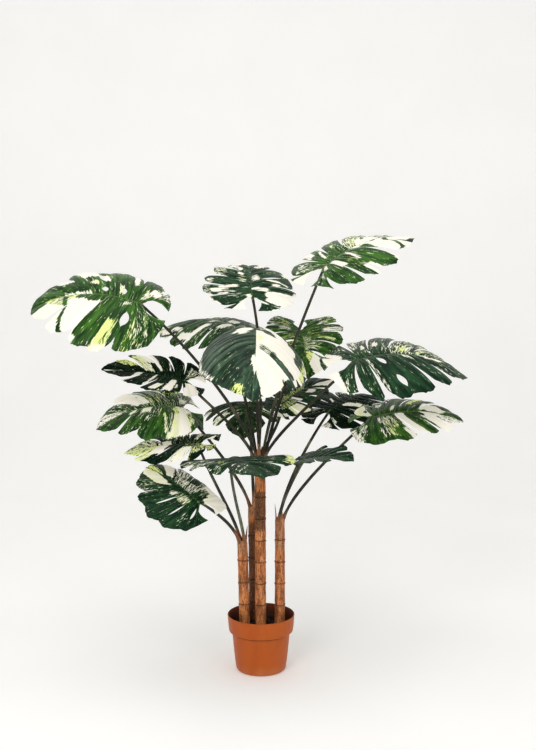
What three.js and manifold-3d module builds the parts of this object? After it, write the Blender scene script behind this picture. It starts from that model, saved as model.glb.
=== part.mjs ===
// A potted variegated monstera: four ringed canes stand in the soil of a round pot,
// and each cane carries leaf stalks (petioles) that fan out to large split leaves.
//
// Units are millimetres and +Z is up. The origin is the middle of the pot's flat base.
// +X is to the right and -Y is to the front. Every leaf is one thin closed blade with the
// knuckle that joins it to its petiole, and every petiole stands in a plain socket in the
// crown of its cane.

import * as THREE from "three";
import { mergeVertices } from "three/addons/utils/BufferGeometryUtils.js";
import Module from "manifold-3d";

const wasm = await Module();
wasm.setup();

// Pot, thin plastic with a stepped rim band
const POT = {
  height: 152,
  rimRadius: 90,
  bandHeight: 45,
  bandFootRadius: 86,
  bandEdge: 3,
  bandRise: 2,
  bandStart: 6,
  lip: 2,
  innerEdge: 2,
  innerDrop: 6,
  shoulderRadius: 78,
  baseRadius: 68,
  baseRounding: 9,
  chamfer: 0.3,
  wall: 3,
  floor: 5,
  sides: 32,
};

// Soil, filled to a little under the rim
const SOIL = { surface: 120, mound: 6, moundShare: 0.55, clearance: 0.4, sides: 24 };

// Canes, the ringed stems. Each leans from its foot in the soil to its crown. rings gives the
// height of a cane's lowest leaf scar and the step to the next, and socketRing the radius on
// which its petioles stand. Past crowded of them, the steepest stand on the inner ring.
const CANE = {
  radius: 14,
  foot: 40,
  sides: 10,
  ringHalfHeight: 3,
  ringStep: 1.6,
  ringDip: 0.4,
  ringFree: 5,
  crownLength: 40,
  crownTaper: 14,
  crownRounding: 1,
  socketDepth: 22,
  socketClearance: 0.45,
  holeClearance: 0.5,
  crowded: 6,
  innerRing: 5.3,
};

const CANES = [
  { name: "centre", foot: [0, -32], top: [-2, -32], crown: 584, crownRadius: 20, socketRing: 13.3,
    rings: [187, 58], bracts: [-100, 75] },
  { name: "left", foot: [-41, -14], top: [-49, -20], crown: 358, crownRadius: 13.4, socketRing: 6.4,
    rings: [184, 60], bracts: [20, 150] },
  { name: "right", foot: [50, -12], top: [50, -10], crown: 416, crownRadius: 12.6, socketRing: 6.4,
    rings: [180, 59], bracts: [180, -70] },
  { name: "back", foot: [-17, 30], top: [-23, 38], crown: 436, crownRadius: 11.6, socketRing: 5.2,
    rings: [176, 60], bracts: [-60, 20] },
];

// Bracts, the dry pointed scales that stand on the crowns. below is how deep the root sits under
// the crown's top, inset how far it stands in from the edge, and outward how far the tip leans.
const BRACT = {
  rootRadius: 3,
  waistRadius: 2.4,
  tipRadius: 0.6,
  below: 18,
  heights: [38, 24],
  inset: 3.2,
  outward: 4,
  sides: 4,
};

// Petioles. The foot in the crown is thinner than the stalk above it.
const PETIOLE = {
  footRadius: 3.3,
  stalkRadius: 4.2,
  tipRadius: 3.1,
  sides: 6,
  steps: 9,
  swellSteps: 2,
  gap: 0.35,
  rise: 14,
  lag: 0.08,
  approach: 0.42,
};

// Knuckles, the swollen joints. topShare is the share of the radius at the blade.
const KNUCKLE = { radius: 4.1, topShare: 0.8, length: 17, sides: 6, above: 2.2, forward: 7, lean: 0.35 };

// Blades. Behind the base they bend basalBend times as much as before it.
const BLADE = { thickness: 1.2, basalBend: 1.1 };

// One half of a blade has six lobes between seven seams. A seam leaves the midrib at root
// and meets the margin at edge, both as shares of the length from petiole to tip, with the
// midrib along y. via is the point that pulls the seam's curve towards it.
const SEAMS = [
  { root: 0.0, edge: [0.055, -0.215], via: [0.15, -0.065] },
  { root: 0.02, edge: [0.35, -0.175], via: [0.15, -0.15] },
  { root: 0.06, edge: [0.495, 0.055], via: [0.25, 0.03] },
  { root: 0.15, edge: [0.52, 0.3], via: [0.26, 0.17] },
  { root: 0.29, edge: [0.45, 0.54], via: [0.23, 0.34] },
  { root: 0.47, edge: [0.3, 0.77], via: [0.16, 0.56] },
  { root: 0.72, edge: [0.0, 1.0], via: [0.0, 0.86] },
];

// Rows of a lobe from midrib to margin, and its columns from the seam before to the seam after.
const ROWS = [0, 0.22, 0.5, 0.8, 1];
const COLUMNS = [-1, 0, 1];

// What a seam between two lobes can be: a split open to the margin, a shorter one,
// a closed slit inside the blade, or no gap at all. Each is open from one row to another.
const SPLITS = {
  o: [0.22, Infinity],
  s: [0.5, Infinity],
  c: [0.22, 0.8],
  n: [0, 0],
};

// How the opening of a slit and of a split grows from its inner end, and the share of its
// width that a split has there at once.
const OPENING = { slitPower: 0.7, atOnce: 0.6 };

// The corners of a lobe are cut back from outside, the row where that starts. freeRow is the
// row from which lobes rise or sink by chance.
const LOBE = {
  bulge: 0.07,
  forwardCorner: 0.03,
  rearCorner: 0.13,
  outside: 0.5,
  freeRow: 0.22,
  settledRow: 0.22,
  liftSpread: 9,
  widthSpread: 0.35,
};

// The halves of leaves whose splits do not lie on the seams, by leaf number and side. Each of
// the five splits has its lane, with 0 at the sinus and 6 at the tip, and its two rows. At the
// midrib it starts from its seam, and by settledRow it has reached its own lane.
const OWN_SPLITS = {
  "1 left": [[1, 0, 0], [2.3, 0.8, Infinity], [3.1, 0, 0], [4, 0.85, Infinity], [5, 0.3, Infinity]],
  "1 right": [[1, 0.6, Infinity], [2, 0.55, Infinity], [3, 0.8, Infinity], [4, 0.42, 0.7],
    [5, 0.6, Infinity]],
  "3 right": [[1.1, 0.5, Infinity], [2.15, 0.3, Infinity], [2.85, 0.6, Infinity], [4.1, 0.35, Infinity],
    [5, 0.3, Infinity]],
  "4 left": [[1, 0, 0], [2, 0, 0], [3, 0.85, Infinity], [4.2, 0.7, Infinity], [5, 0.8, Infinity]],
  "4 right": [[1, 0, 0], [2, 0, 0], [3, 0, 0], [4, 0, 0], [5, 0, 0]],
  "7 right": [[1.5, 0.22, Infinity], [2.25, 0.3, Infinity], [3.15, 0.62, 0.86], [4.2, 0.36, Infinity],
    [4.9, 0.45, Infinity]],
  "8 right": [[1, 0, 0], [2.3, 0, 0], [3.75, 0.12, Infinity], [4.7, 0.45, Infinity],
    [5.25, 0.3, Infinity]],
  "11 left": [[1.2, 0.85, Infinity], [2.3, 0, 0], [3.3, 0, 0], [4.3, 0.9, Infinity],
    [5.15, 0.3, Infinity]],
  "13 left": [[1.25, 0.22, 0.62], [2.35, 0.3, 0.76], [3.45, 0.28, 0.78], [4.45, 0.45, Infinity],
    [5.3, 0, 0]],
};

// The leaves. base is where the midrib starts. heading is the midrib's compass angle, with
// 0 to the right and 90 to the back, pitch its rise and roll the turn about it that lowers
// the right-hand half. arch is how far the midrib bends down to its tip, droop how far the
// right and the left half bend down, fold how far both are raised from the midrib, in degrees.
// right and left give the five seams from the sinus to the tip, and gap the width of their
// splits as a share of half a lobe. bow turns the petiole's upper end to the right and up.
const LEAVES = [
  { cane: "centre", base: [-296, -100, 985], heading: 184, pitch: 22, roll: -37, length: 321, width: 0.99,
    arch: 65, droop: [52, 49], fold: 8, right: "nsoos", left: "ocooo", gap: 0.2, bow: [122, 185], seed: 1 },
  { cane: "centre", base: [-23, 45, 995], heading: 94, pitch: 38, roll: 0, length: 242, width: 1.03,
    arch: 41, droop: [45, 22], fold: 7, right: "soocs", left: "sooso", gap: 0.2, bow: [83, 15], seed: 2 },
  { cane: "centre", base: [162, 40, 1069], heading: 30, pitch: 39, roll: 3, length: 310, width: 0.98,
    arch: 53, droop: [57, 31], fold: 11, right: "soooo", left: "soooo", gap: 0.26, bow: [-169, 72], seed: 3 },
  { cane: "centre", base: [-12, -70, 922], heading: -88, pitch: -7, roll: -8, length: 312, width: 1.05,
    arch: 44, droop: [56, 47], fold: -7, right: "nccsc", left: "nsoss", gap: 0.13, bow: [0, 0], seed: 4 },
  { cane: "centre", base: [109, 190, 893], heading: -82, pitch: -27, roll: -3, length: 178, width: 1.2,
    arch: 31, droop: [24, 10], fold: 26, right: "nsocs", left: "nsooc", gap: 0.14, bow: [0, 0], seed: 5 },
  { cane: "centre", base: [-68, 130, 909], heading: 141, pitch: 16, roll: 3, length: 276, width: 1.16,
    arch: 53, droop: [40, 72], fold: 13, right: "nsoos", left: "soooo", gap: 0.18, bow: [0, 0], seed: 6 },
  { cane: "centre", base: [233, -60, 837], heading: 10, pitch: 18, roll: 14, length: 342, width: 0.96,
    arch: 58, droop: [54, 27], fold: 7, right: "oooco", left: "soooo", gap: 0.27, bow: [-59, 68], seed: 7 },
  { cane: "right", base: [280, -30, 685], heading: -4, pitch: 20, roll: 21, length: 258, width: 0.92,
    arch: 50, droop: [21, 37], fold: 4, right: "oocso", left: "soooo", gap: 0.2, bow: [-119, 71], seed: 8 },
  { cane: "right", base: [184, 150, 672], heading: 41, pitch: 29, roll: 5, length: 245, width: 0.97,
    arch: 55, droop: [16, 3], fold: -6, right: "soooo", left: "soooo", gap: 0.2, bow: [-118, 65], seed: 9 },
  { cane: "centre", base: [-194, 30, 773], heading: 185, pitch: 16, roll: -22, length: 227, width: 0.98,
    arch: 17, droop: [26, 9], fold: 11, right: "soooo", left: "soooo", gap: 0.24, bow: [58, 55], seed: 10 },
  { cane: "back", base: [-205, 30, 704], heading: 202, pitch: 13, roll: -24, length: 244, width: 1.02,
    arch: 57, droop: [43, 33], fold: 10, right: "nsoss", left: "nocso", gap: 0.17, bow: [93, 85], seed: 11 },
  { cane: "left", base: [-154, -85, 630], heading: 166, pitch: -3, roll: -14, length: 213, width: 0.99,
    arch: 15, droop: [56, 31], fold: 14, right: "soooo", left: "sooco", gap: 0.2, bow: [-1, 13], seed: 12 },
  { cane: "left", base: [-150, -175, 493], heading: 146, pitch: 36, roll: -24, length: 216, width: 1.01,
    arch: 41, droop: [78, 24], fold: 5, right: "nsoos", left: "sccco", gap: 0.11, bow: [-29, 116], seed: 13 },
  { cane: "left", base: [-79, -150, 602], heading: -68, pitch: 15, roll: 0, length: 240, width: 1.15,
    arch: 32, droop: [18, 20], fold: 6, right: "nsooo", left: "nsooo", gap: 0.2, bow: [-21, 9], seed: 14 },
  { cane: "right", base: [106, -75, 584], heading: -33, pitch: 21, roll: 9, length: 150, width: 0.99,
    arch: 31, droop: [8, 16], fold: 10, right: "sooso", left: "soooo", gap: 0.2, bow: [-34, 90], seed: 15 },
  { cane: "back", base: [-31, 190, 693], heading: 96, pitch: -8, roll: 0, length: 245, width: 1.05,
    arch: 56, droop: [44, 44], fold: 8, right: "soooo", left: "soooo", gap: 0.3, bow: [0, 0], seed: 16 },
  { cane: "centre", base: [54, 95, 702], heading: 25, pitch: 36, roll: 12, length: 170, width: 1.0,
    arch: 34, droop: [34, 24], fold: 8, right: "sooso", left: "sooos", gap: 0.2, bow: [0, 0], seed: 17 },
];

const COLOURS = {
  pot: { color: 0xb35a28, roughness: 0.5 },
  soil: { color: 0x241b15, roughness: 0.95 },
  cane: { color: 0xb06a3c, roughness: 0.7 },
  petiole: { color: 0x2c3a22, roughness: 0.5 },
  blade: { color: 0x2f6b34, roughness: 0.45 },
};

const UP = new THREE.Vector3(0, 0, 1);

// The first side of every tube looks away from this direction, which no tube follows.
const ASIDE = new THREE.Vector3(1, 0.17, 0);
const radians = THREE.MathUtils.degToRad;

// A number from -1 to 1 that depends only on the two given.
function scatter(seed, index) {
  const raw = Math.sin(seed * 12.9898 + index * 78.233) * 43758.5453;
  return 2 * (raw - Math.floor(raw)) - 1;
}

// Geometry to solid and back, so that pieces can be joined and cut
function solidOf(geometry) {
  const bare = new THREE.BufferGeometry().setAttribute("position", geometry.getAttribute("position"));
  bare.setIndex(geometry.getIndex());
  const merged = mergeVertices(bare, 1e-4);
  const mesh = new wasm.Mesh({
    numProp: 3,
    vertProperties: new Float32Array(merged.getAttribute("position").array),
    triVerts: new Uint32Array(merged.getIndex().array),
  });
  return new wasm.Manifold(mesh);
}

function geometryOf(solid) {
  const mesh = solid.getMesh();
  return new THREE.BufferGeometry()
    .setAttribute("position", new THREE.BufferAttribute(mesh.vertProperties, 3))
    .setIndex(new THREE.BufferAttribute(mesh.triVerts, 1));
}

// A solid of revolution about Z, from a profile that starts and ends on the axis.
function turned(profile, sides) {
  const points = profile.map(([radius, height]) => new THREE.Vector2(radius, height));
  return new THREE.LatheGeometry(points, sides).rotateX(Math.PI / 2);
}

// A closed tube along a curve. stations are {at, radius}, with at from 0 to 1 along the curve.
function tube(curve, stations, sides) {
  const frames = stations.map(({ at }) => {
    const along = curve.getTangentAt(at);
    const side = new THREE.Vector3().crossVectors(along, ASIDE).normalize();
    return { centre: curve.getPointAt(at), side, other: new THREE.Vector3().crossVectors(along, side) };
  });
  const positions = [];
  frames.forEach(({ centre, side, other }, row) => {
    for (let i = 0; i < sides; i++) {
      const turn = (2 * Math.PI * i) / sides;
      const point = centre
        .clone()
        .addScaledVector(side, stations[row].radius * Math.cos(turn))
        .addScaledVector(other, stations[row].radius * Math.sin(turn));
      positions.push(...point.toArray());
    }
  });
  const index = [];
  for (let row = 0; row + 1 < frames.length; row++) {
    for (let i = 0; i < sides; i++) {
      const [a, b] = [row * sides + i, row * sides + ((i + 1) % sides)];
      index.push(a, b, a + sides, b, b + sides, a + sides);
    }
  }
  const last = (frames.length - 1) * sides;
  for (let i = 1; i + 1 < sides; i++) {
    index.push(0, i + 1, i, last, last + i, last + i + 1);
  }
  return new THREE.BufferGeometry()
    .setAttribute("position", new THREE.Float32BufferAttribute(positions, 3))
    .setIndex(index);
}

// Inner radius of the pot's sloping body at a height.
function bodyInside(height) {
  const slope = (POT.shoulderRadius - POT.baseRadius) / (POT.height - POT.bandHeight);
  return POT.baseRadius - POT.wall + slope * height;
}

// Pot, turned from one profile: flat base, sloping body, shoulder, rim band and lip
function potGeometry() {
  const bandFoot = POT.height - POT.bandHeight;
  return turned(
    [
      [0, 0],
      [POT.baseRadius - POT.baseRounding, 0],
      [POT.baseRadius - POT.baseRounding * POT.chamfer, POT.baseRounding * POT.chamfer],
      [POT.baseRadius, POT.baseRounding],
      [POT.shoulderRadius, bandFoot],
      [POT.bandFootRadius - POT.bandEdge, bandFoot + POT.bandRise],
      [POT.bandFootRadius, bandFoot + POT.bandStart],
      [POT.rimRadius - POT.lip / 2, POT.height - POT.lip],
      [POT.rimRadius - POT.lip, POT.height],
      [POT.rimRadius - POT.wall, POT.height],
      [bodyInside(bandFoot) + POT.innerEdge, bandFoot + POT.bandRise],
      [bodyInside(bandFoot - POT.innerDrop), bandFoot - POT.innerDrop],
      [bodyInside(POT.floor), POT.floor],
      [0, POT.floor],
    ],
    POT.sides,
  );
}

// Inner radius of the pot at a height, in the body or behind the rim band.
function potInside(height) {
  const bandFoot = POT.height - POT.bandHeight;
  if (height <= bandFoot - POT.innerDrop) {
    return bodyInside(height);
  }
  const low = { radius: bodyInside(bandFoot) + POT.innerEdge, height: bandFoot + POT.bandRise };
  const high = { radius: POT.rimRadius - POT.wall, height: POT.height };
  const share = (height - low.height) / (high.height - low.height);
  return THREE.MathUtils.lerp(low.radius, high.radius, share);
}

// The line that a cane follows, from its foot in the soil to its crown.
function caneLine(cane) {
  return new THREE.LineCurve3(
    new THREE.Vector3(...cane.foot, CANE.foot),
    new THREE.Vector3(...cane.top, cane.crown),
  );
}

function caneStations(cane) {
  const length = cane.crown - CANE.foot;
  const at = (height) => (height - CANE.foot) / length;
  const radiusAt = (share) => CANE.radius + Math.min(0, cane.crownRadius - CANE.radius) * share;
  const stations = [{ at: 0, radius: CANE.radius }];
  const [first, step] = cane.rings;
  for (let ring = first; ring < cane.crown - CANE.crownLength - CANE.ringFree; ring += step) {
    const radius = radiusAt(at(ring));
    stations.push(
      { at: at(ring - CANE.ringHalfHeight), radius },
      { at: at(ring), radius: radius + CANE.ringStep },
      { at: at(ring + CANE.ringHalfHeight), radius: radius - CANE.ringDip },
    );
  }
  stations.push(
    { at: at(cane.crown - CANE.crownLength), radius: radiusAt(at(cane.crown - CANE.crownLength)) },
    { at: at(cane.crown - CANE.crownTaper), radius: cane.crownRadius },
    { at: 1, radius: cane.crownRadius - CANE.crownRounding },
  );
  return stations;
}

// A bract stands on the edge of its crown at a compass angle.
function bractSolid(cane, compass, height) {
  const out = new THREE.Vector3(Math.cos(radians(compass)), Math.sin(radians(compass)), 0);
  const top = new THREE.Vector3(...cane.top, cane.crown);
  const edge = cane.crownRadius - BRACT.inset;
  const root = top.clone().addScaledVector(out, edge).addScaledVector(UP, -BRACT.below);
  const tip = top.clone().addScaledVector(out, edge + BRACT.outward).addScaledVector(UP, height);
  const stations = [
    { at: 0, radius: BRACT.rootRadius },
    { at: 0.5, radius: BRACT.waistRadius },
    { at: 1, radius: BRACT.tipRadius },
  ];
  return solidOf(tube(new THREE.LineCurve3(root, tip), stations, BRACT.sides));
}

// Directions of a leaf at its base: along the midrib, to its right, and up from the blade
function leafFrame(leaf) {
  const [heading, pitch] = [radians(leaf.heading), radians(leaf.pitch)];
  const along = new THREE.Vector3(
    Math.cos(pitch) * Math.cos(heading),
    Math.cos(pitch) * Math.sin(heading),
    Math.sin(pitch),
  );
  const right = new THREE.Vector3().crossVectors(along, UP).normalize();
  right.applyAxisAngle(along, radians(leaf.roll));
  return { along, right, normal: new THREE.Vector3().crossVectors(right, along) };
}

// Where the point x across and y along the flat blade lies once the blade is arched.
// The midrib is an arc that bends down to the tip, and behind the base to the basal lobes.
// Across it, each half starts at the fold angle and bends down by droop over half a length.
function arched(leaf, frame, x, y, lift) {
  const bend = (y < 0 ? BLADE.basalBend : 1) * (radians(leaf.arch) / leaf.length);
  const run = Math.abs(y) * bend;
  const forward = (Math.sign(y) * Math.sin(run)) / bend;
  const fall = -(1 - Math.cos(run)) / bend;
  const normal = frame.normal.clone().multiplyScalar(Math.cos(run));
  normal.addScaledVector(frame.along, Math.sign(y) * Math.sin(run));
  const fold = radians(leaf.fold);
  const curl = radians(leaf.droop[x > 0 ? 0 : 1]) / (0.5 * leaf.length);
  const turned = fold - curl * Math.abs(x);
  const out = (Math.sin(fold) - Math.sin(turned)) / curl;
  const rise = (Math.cos(turned) - Math.cos(fold)) / curl;
  return new THREE.Vector3(...leaf.base)
    .addScaledVector(frame.along, forward)
    .addScaledVector(frame.normal, fall)
    .addScaledVector(frame.right, Math.sign(x) * out)
    .addScaledVector(normal, rise + lift);
}

// A seam's point at the share r of the way from the midrib, on a curve through root and edge.
function seamPoint(seam, r) {
  const [start, end] = [(1 - r) ** 2, r ** 2];
  const middle = 2 * r * (1 - r);
  return [
    middle * seam.via[0] + end * seam.edge[0],
    start * seam.root + middle * seam.via[1] + end * seam.edge[1],
  ];
}

// A point of the flat blade on any lane, between the two seams that the lane lies between.
function netPoint(lane, r) {
  const seam = Math.min(SEAMS.length - 2, Math.floor(lane));
  const [ax, ay] = seamPoint(SEAMS[seam], r);
  const [bx, by] = seamPoint(SEAMS[seam + 1], r);
  return [ax + (bx - ax) * (lane - seam), ay + (by - ay) * (lane - seam)];
}

// How far a split has opened at r, as a share of half a lobe. The inner end is round.
function gapAt({ from, to, width }, r) {
  if (r <= from || r >= to) {
    return 0;
  }
  if (to < 1) {
    return width * Math.sin((Math.PI * (r - from)) / (to - from)) ** OPENING.slitPower;
  }
  const share = (r - from) / (1 - from);
  return width * Math.sqrt(share) * (OPENING.atOnce + (1 - OPENING.atOnce) * share);
}

// The splits on one half of a leaf, with the sinus edge before and the midrib after them.
function halfSplits(leaf, side) {
  const kinds = side > 0 ? leaf.right : leaf.left;
  const usual = [...kinds].map((kind, i) => [i + 1, ...SPLITS[kind]]);
  const chosen = OWN_SPLITS[`${leaf.seed} ${side > 0 ? "right" : "left"}`] ?? usual;
  const between = chosen.map(([lane, from, to], i) => ({
    lane,
    from,
    to,
    width: leaf.gap * (1 + LOBE.widthSpread * scatter(leaf.seed, i + (side > 0 ? 0 : 10))),
  }));
  const closed = { from: 0, to: 0, width: 0 };
  return [{ lane: 0, ...closed }, ...between, { lane: SEAMS.length - 1, ...closed }];
}

// A point of a lobe on the flat blade, as shares of the length, from its column t, from -1
// at the seam before to 1 at the seam after, and its row r, from 0 at the midrib to 1.
function lobePoint(lobe, splits, t, r) {
  const [before, after] = [splits[lobe], splits[lobe + 1]];
  const squeeze = t < 0 ? gapAt(before, r) : gapAt(after, r);
  const across = (t * (1 - squeeze) + 1) / 2;
  const late = Math.max(0, (r - LOBE.outside) / (1 - LOBE.outside)) ** 2;
  const rear = before.to > 1 ? LOBE.rearCorner * ((1 - t) / 2) ** 2 : 0;
  const fore = after.to > 1 ? LOBE.forwardCorner * ((1 + t) / 2) ** 3 : 0;
  const reach = r * (1 + LOBE.bulge * (1 - t * t)) - (rear + fore) * late;
  const settled = THREE.MathUtils.smoothstep(r, 0, LOBE.settledRow);
  const start = THREE.MathUtils.lerp(lobe, before.lane, settled);
  const end = THREE.MathUtils.lerp(lobe + 1, after.lane, settled);
  return netPoint(start + (end - start) * across, reach);
}

// The upper surface of a blade: shared vertices and the triangles between them
function bladeSurface(leaf) {
  const frame = leafFrame(leaf);
  const points = [];
  const triangles = [];
  const known = new Map();
  const vertex = (side, lobe, splits, t, r) => {
    const [x, y] = lobePoint(lobe, splits, t, r);
    const key = [side * x, y].map((value) => Math.round(value * 1e5)).join();
    if (!known.has(key)) {
      known.set(key, points.length);
      const chance = LOBE.liftSpread * scatter(leaf.seed, 20 + lobe + 7 * side);
      const lift = chance * Math.max(0, r - LOBE.freeRow) ** 2 * (1 - t * t);
      points.push(arched(leaf, frame, side * x * leaf.width * leaf.length, y * leaf.length, lift));
    }
    return known.get(key);
  };
  const add = (a, b, c, side) => {
    if (a !== b && b !== c && a !== c) {
      triangles.push(side > 0 ? [a, b, c] : [a, c, b]);
    }
  };
  for (const side of [1, -1]) {
    const splits = halfSplits(leaf, side);
    for (let lobe = 0; lobe + 1 < splits.length; lobe++) {
      for (let row = 0; row + 1 < ROWS.length; row++) {
        for (let column = 0; column + 1 < COLUMNS.length; column++) {
          const [t0, t1] = [COLUMNS[column], COLUMNS[column + 1]];
          const [r0, r1] = [ROWS[row], ROWS[row + 1]];
          const corner = [[t0, r0], [t0, r1], [t1, r1], [t1, r0]].map(([t, r]) =>
            vertex(side, lobe, splits, t, r),
          );
          const [a, b, c, d] = corner;
          if (t0 < 0) {
            add(a, b, c, side);
            add(a, c, d, side);
          } else {
            add(a, b, d, side);
            add(b, c, d, side);
          }
        }
      }
    }
  }
  return { points, triangles };
}

// A blade with its thickness: the surface, the same triangles below it, and a wall round
// every edge that only one triangle has.
function bladeSolid(leaf) {
  const { points, triangles } = bladeSurface(leaf);
  const normals = points.map(() => new THREE.Vector3());
  for (const [a, b, c] of triangles) {
    const one = points[b].clone().sub(points[a]);
    const face = one.cross(points[c].clone().sub(points[a]));
    [a, b, c].forEach((i) => normals[i].add(face));
  }
  const count = points.length;
  const under = points.map((point, i) =>
    point.clone().addScaledVector(normals[i].normalize(), -BLADE.thickness),
  );
  const index = [];
  const edges = new Set(triangles.flatMap(([a, b, c]) => [`${a},${b}`, `${b},${c}`, `${c},${a}`]));
  for (const [a, b, c] of triangles) {
    index.push(a, b, c, a + count, c + count, b + count);
    for (const [from, to] of [[a, b], [b, c], [c, a]]) {
      if (!edges.has(`${to},${from}`)) {
        index.push(from, from + count, to, to, from + count, to + count);
      }
    }
  }
  const positions = [...points, ...under].flatMap((point) => point.toArray());
  return solidOf(
    new THREE.BufferGeometry()
      .setAttribute("position", new THREE.Float32BufferAttribute(positions, 3))
      .setIndex(index),
  );
}

// The knuckle under the base of a blade: where it starts, and which way the petiole leaves it
function knuckleOf(leaf, crown) {
  const frame = leafFrame(leaf);
  const base = arched(leaf, frame, 0, KNUCKLE.forward, 0);
  const home = crown.clone().sub(base);
  const bow = new THREE.Vector3(leaf.bow[0], 0, leaf.bow[1]).divideScalar(home.length());
  const down = home.normalize().add(bow).addScaledVector(frame.normal, -KNUCKLE.lean).normalize();
  const start = base.clone().addScaledVector(down, -KNUCKLE.above);
  return { start, down, end: start.clone().addScaledVector(down, KNUCKLE.length) };
}

// Where the petioles stand in a crown: on its socket ring those of the leaves that reach out
// farthest, and on the inner ring the steepest, each in compass order.
function socketPlaces(cane, leaves) {
  const top = new THREE.Vector3(...cane.top, cane.crown);
  const offset = (leaf) => new THREE.Vector3(...leaf.base).sub(top);
  const compass = (leaf) => Math.atan2(offset(leaf).y, offset(leaf).x);
  const slant = (leaf) => Math.hypot(offset(leaf).x, offset(leaf).y) / offset(leaf).z;
  const bySlant = [...leaves].sort((a, b) => slant(b) - slant(a));
  const rings = [
    { members: bySlant.slice(0, CANE.crowded), radius: cane.socketRing },
    { members: bySlant.slice(CANE.crowded), radius: CANE.innerRing },
  ];
  const places = new Map();
  for (const { members, radius } of rings) {
    const ordered = members.sort((a, b) => compass(a) - compass(b));
    const step = (2 * Math.PI) / ordered.length;
    const start = ordered.reduce((sum, leaf, i) => sum + compass(leaf) - step * i, 0) / ordered.length;
    ordered.forEach((leaf, i) => {
      const turn = start + step * i;
      const out = new THREE.Vector3(Math.cos(turn), Math.sin(turn), 0);
      places.set(leaf, top.clone().addScaledVector(out, radius));
    });
  }
  return places;
}

// A petiole's curve rises straight out of its socket, leans over, and runs on to its leaf.
function petioleCurve(mouth, knuckle) {
  const foot = mouth.clone().addScaledVector(UP, -CANE.socketDepth);
  const end = knuckle.end.clone().addScaledVector(knuckle.down, PETIOLE.gap);
  const reach = end.distanceTo(mouth);
  return new THREE.CubicBezierCurve3(
    foot,
    mouth.clone().addScaledVector(UP, PETIOLE.rise + PETIOLE.lag * reach),
    end.clone().addScaledVector(knuckle.down, PETIOLE.approach * reach),
    end,
  );
}

function petioleStations(extra = 0) {
  return Array.from({ length: PETIOLE.steps + 1 }, (_, i) => {
    const at = i / PETIOLE.steps;
    const stalk = THREE.MathUtils.lerp(PETIOLE.stalkRadius, PETIOLE.tipRadius, at);
    const share = Math.min(1, i / PETIOLE.swellSteps);
    return { at, radius: THREE.MathUtils.lerp(PETIOLE.footRadius, stalk, share ** 2) + extra };
  });
}

// The tool that cuts a petiole's socket: its own tube made wider, and longer at the foot
function socketSolid(curve) {
  const wide = solidOf(tube(curve, petioleStations(CANE.socketClearance), PETIOLE.sides));
  return wide.add(wide.translate([0, 0, -CANE.socketClearance]));
}

const group = new THREE.Group();

function place(name, geometry, look) {
  const mesh = new THREE.Mesh(geometry, new THREE.MeshStandardMaterial({ metalness: 0, ...COLOURS[look] }));
  mesh.name = name;
  group.add(mesh);
}

place("pot", potGeometry(), "pot");

// Petioles and blades, leaf by leaf
const curves = new Map(CANES.map((cane) => [cane, []]));
for (const cane of CANES) {
  const own = LEAVES.filter((leaf) => leaf.cane === cane.name);
  const places = socketPlaces(cane, own);
  const crown = new THREE.Vector3(...cane.top, cane.crown);
  for (const leaf of own) {
    const number = String(LEAVES.indexOf(leaf) + 1).padStart(2, "0");
    const knuckle = knuckleOf(leaf, crown);
    const curve = petioleCurve(places.get(leaf), knuckle);
    curves.get(cane).push(curve);
    place(`petiole_${number}`, tube(curve, petioleStations(), PETIOLE.sides), "petiole");
    const stations = [
      { at: 0, radius: KNUCKLE.radius * KNUCKLE.topShare },
      { at: 1, radius: KNUCKLE.radius },
    ];
    const joint = tube(new THREE.LineCurve3(knuckle.start, knuckle.end), stations, KNUCKLE.sides);
    place(`leaf_${number}`, geometryOf(bladeSolid(leaf).add(solidOf(joint))), "blade");
  }
}

// Canes, with their bracts joined on and their sockets cut
for (const cane of CANES) {
  let solid = solidOf(tube(caneLine(cane), caneStations(cane), CANE.sides));
  cane.bracts.forEach((compass, i) => {
    solid = solid.add(bractSolid(cane, compass, BRACT.heights[i]));
  });
  for (const curve of curves.get(cane)) {
    solid = solid.subtract(socketSolid(curve));
  }
  place(`cane_${cane.name}`, geometryOf(solid), "cane");
}

// Soil, with a plain hole for each cane
const soilEdge = (height) => [potInside(height) - SOIL.clearance, height];
const soilProfile = [
  [0, POT.floor + SOIL.clearance],
  soilEdge(POT.floor + SOIL.clearance),
  soilEdge(POT.height - POT.bandHeight - POT.innerDrop),
  soilEdge(SOIL.surface),
  [potInside(SOIL.surface) * SOIL.moundShare, SOIL.surface + SOIL.mound],
  [0, SOIL.surface + SOIL.mound],
];
let soil = solidOf(turned(soilProfile, SOIL.sides));
for (const cane of CANES) {
  const grown = caneStations(cane).map(({ at, radius }) => ({ at, radius: radius + CANE.holeClearance }));
  const hole = solidOf(tube(caneLine(cane), grown, CANE.sides));
  soil = soil.subtract(hole.add(hole.translate([0, 0, -SOIL.clearance])));
}
place("soil", geometryOf(soil), "soil");

export default group;
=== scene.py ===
# %% [markdown]
# # A potted variegated monstera
# Four ringed stems grow from a terracotta-coloured pot and carry seventeen large split leaves.
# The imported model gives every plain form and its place, in metres. This lesson replaces each of
# those forms with a finer surface of the same shape, and gives it the finish of the real plant.
# The camera stands where the photographer stood.

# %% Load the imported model
import math

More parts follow.
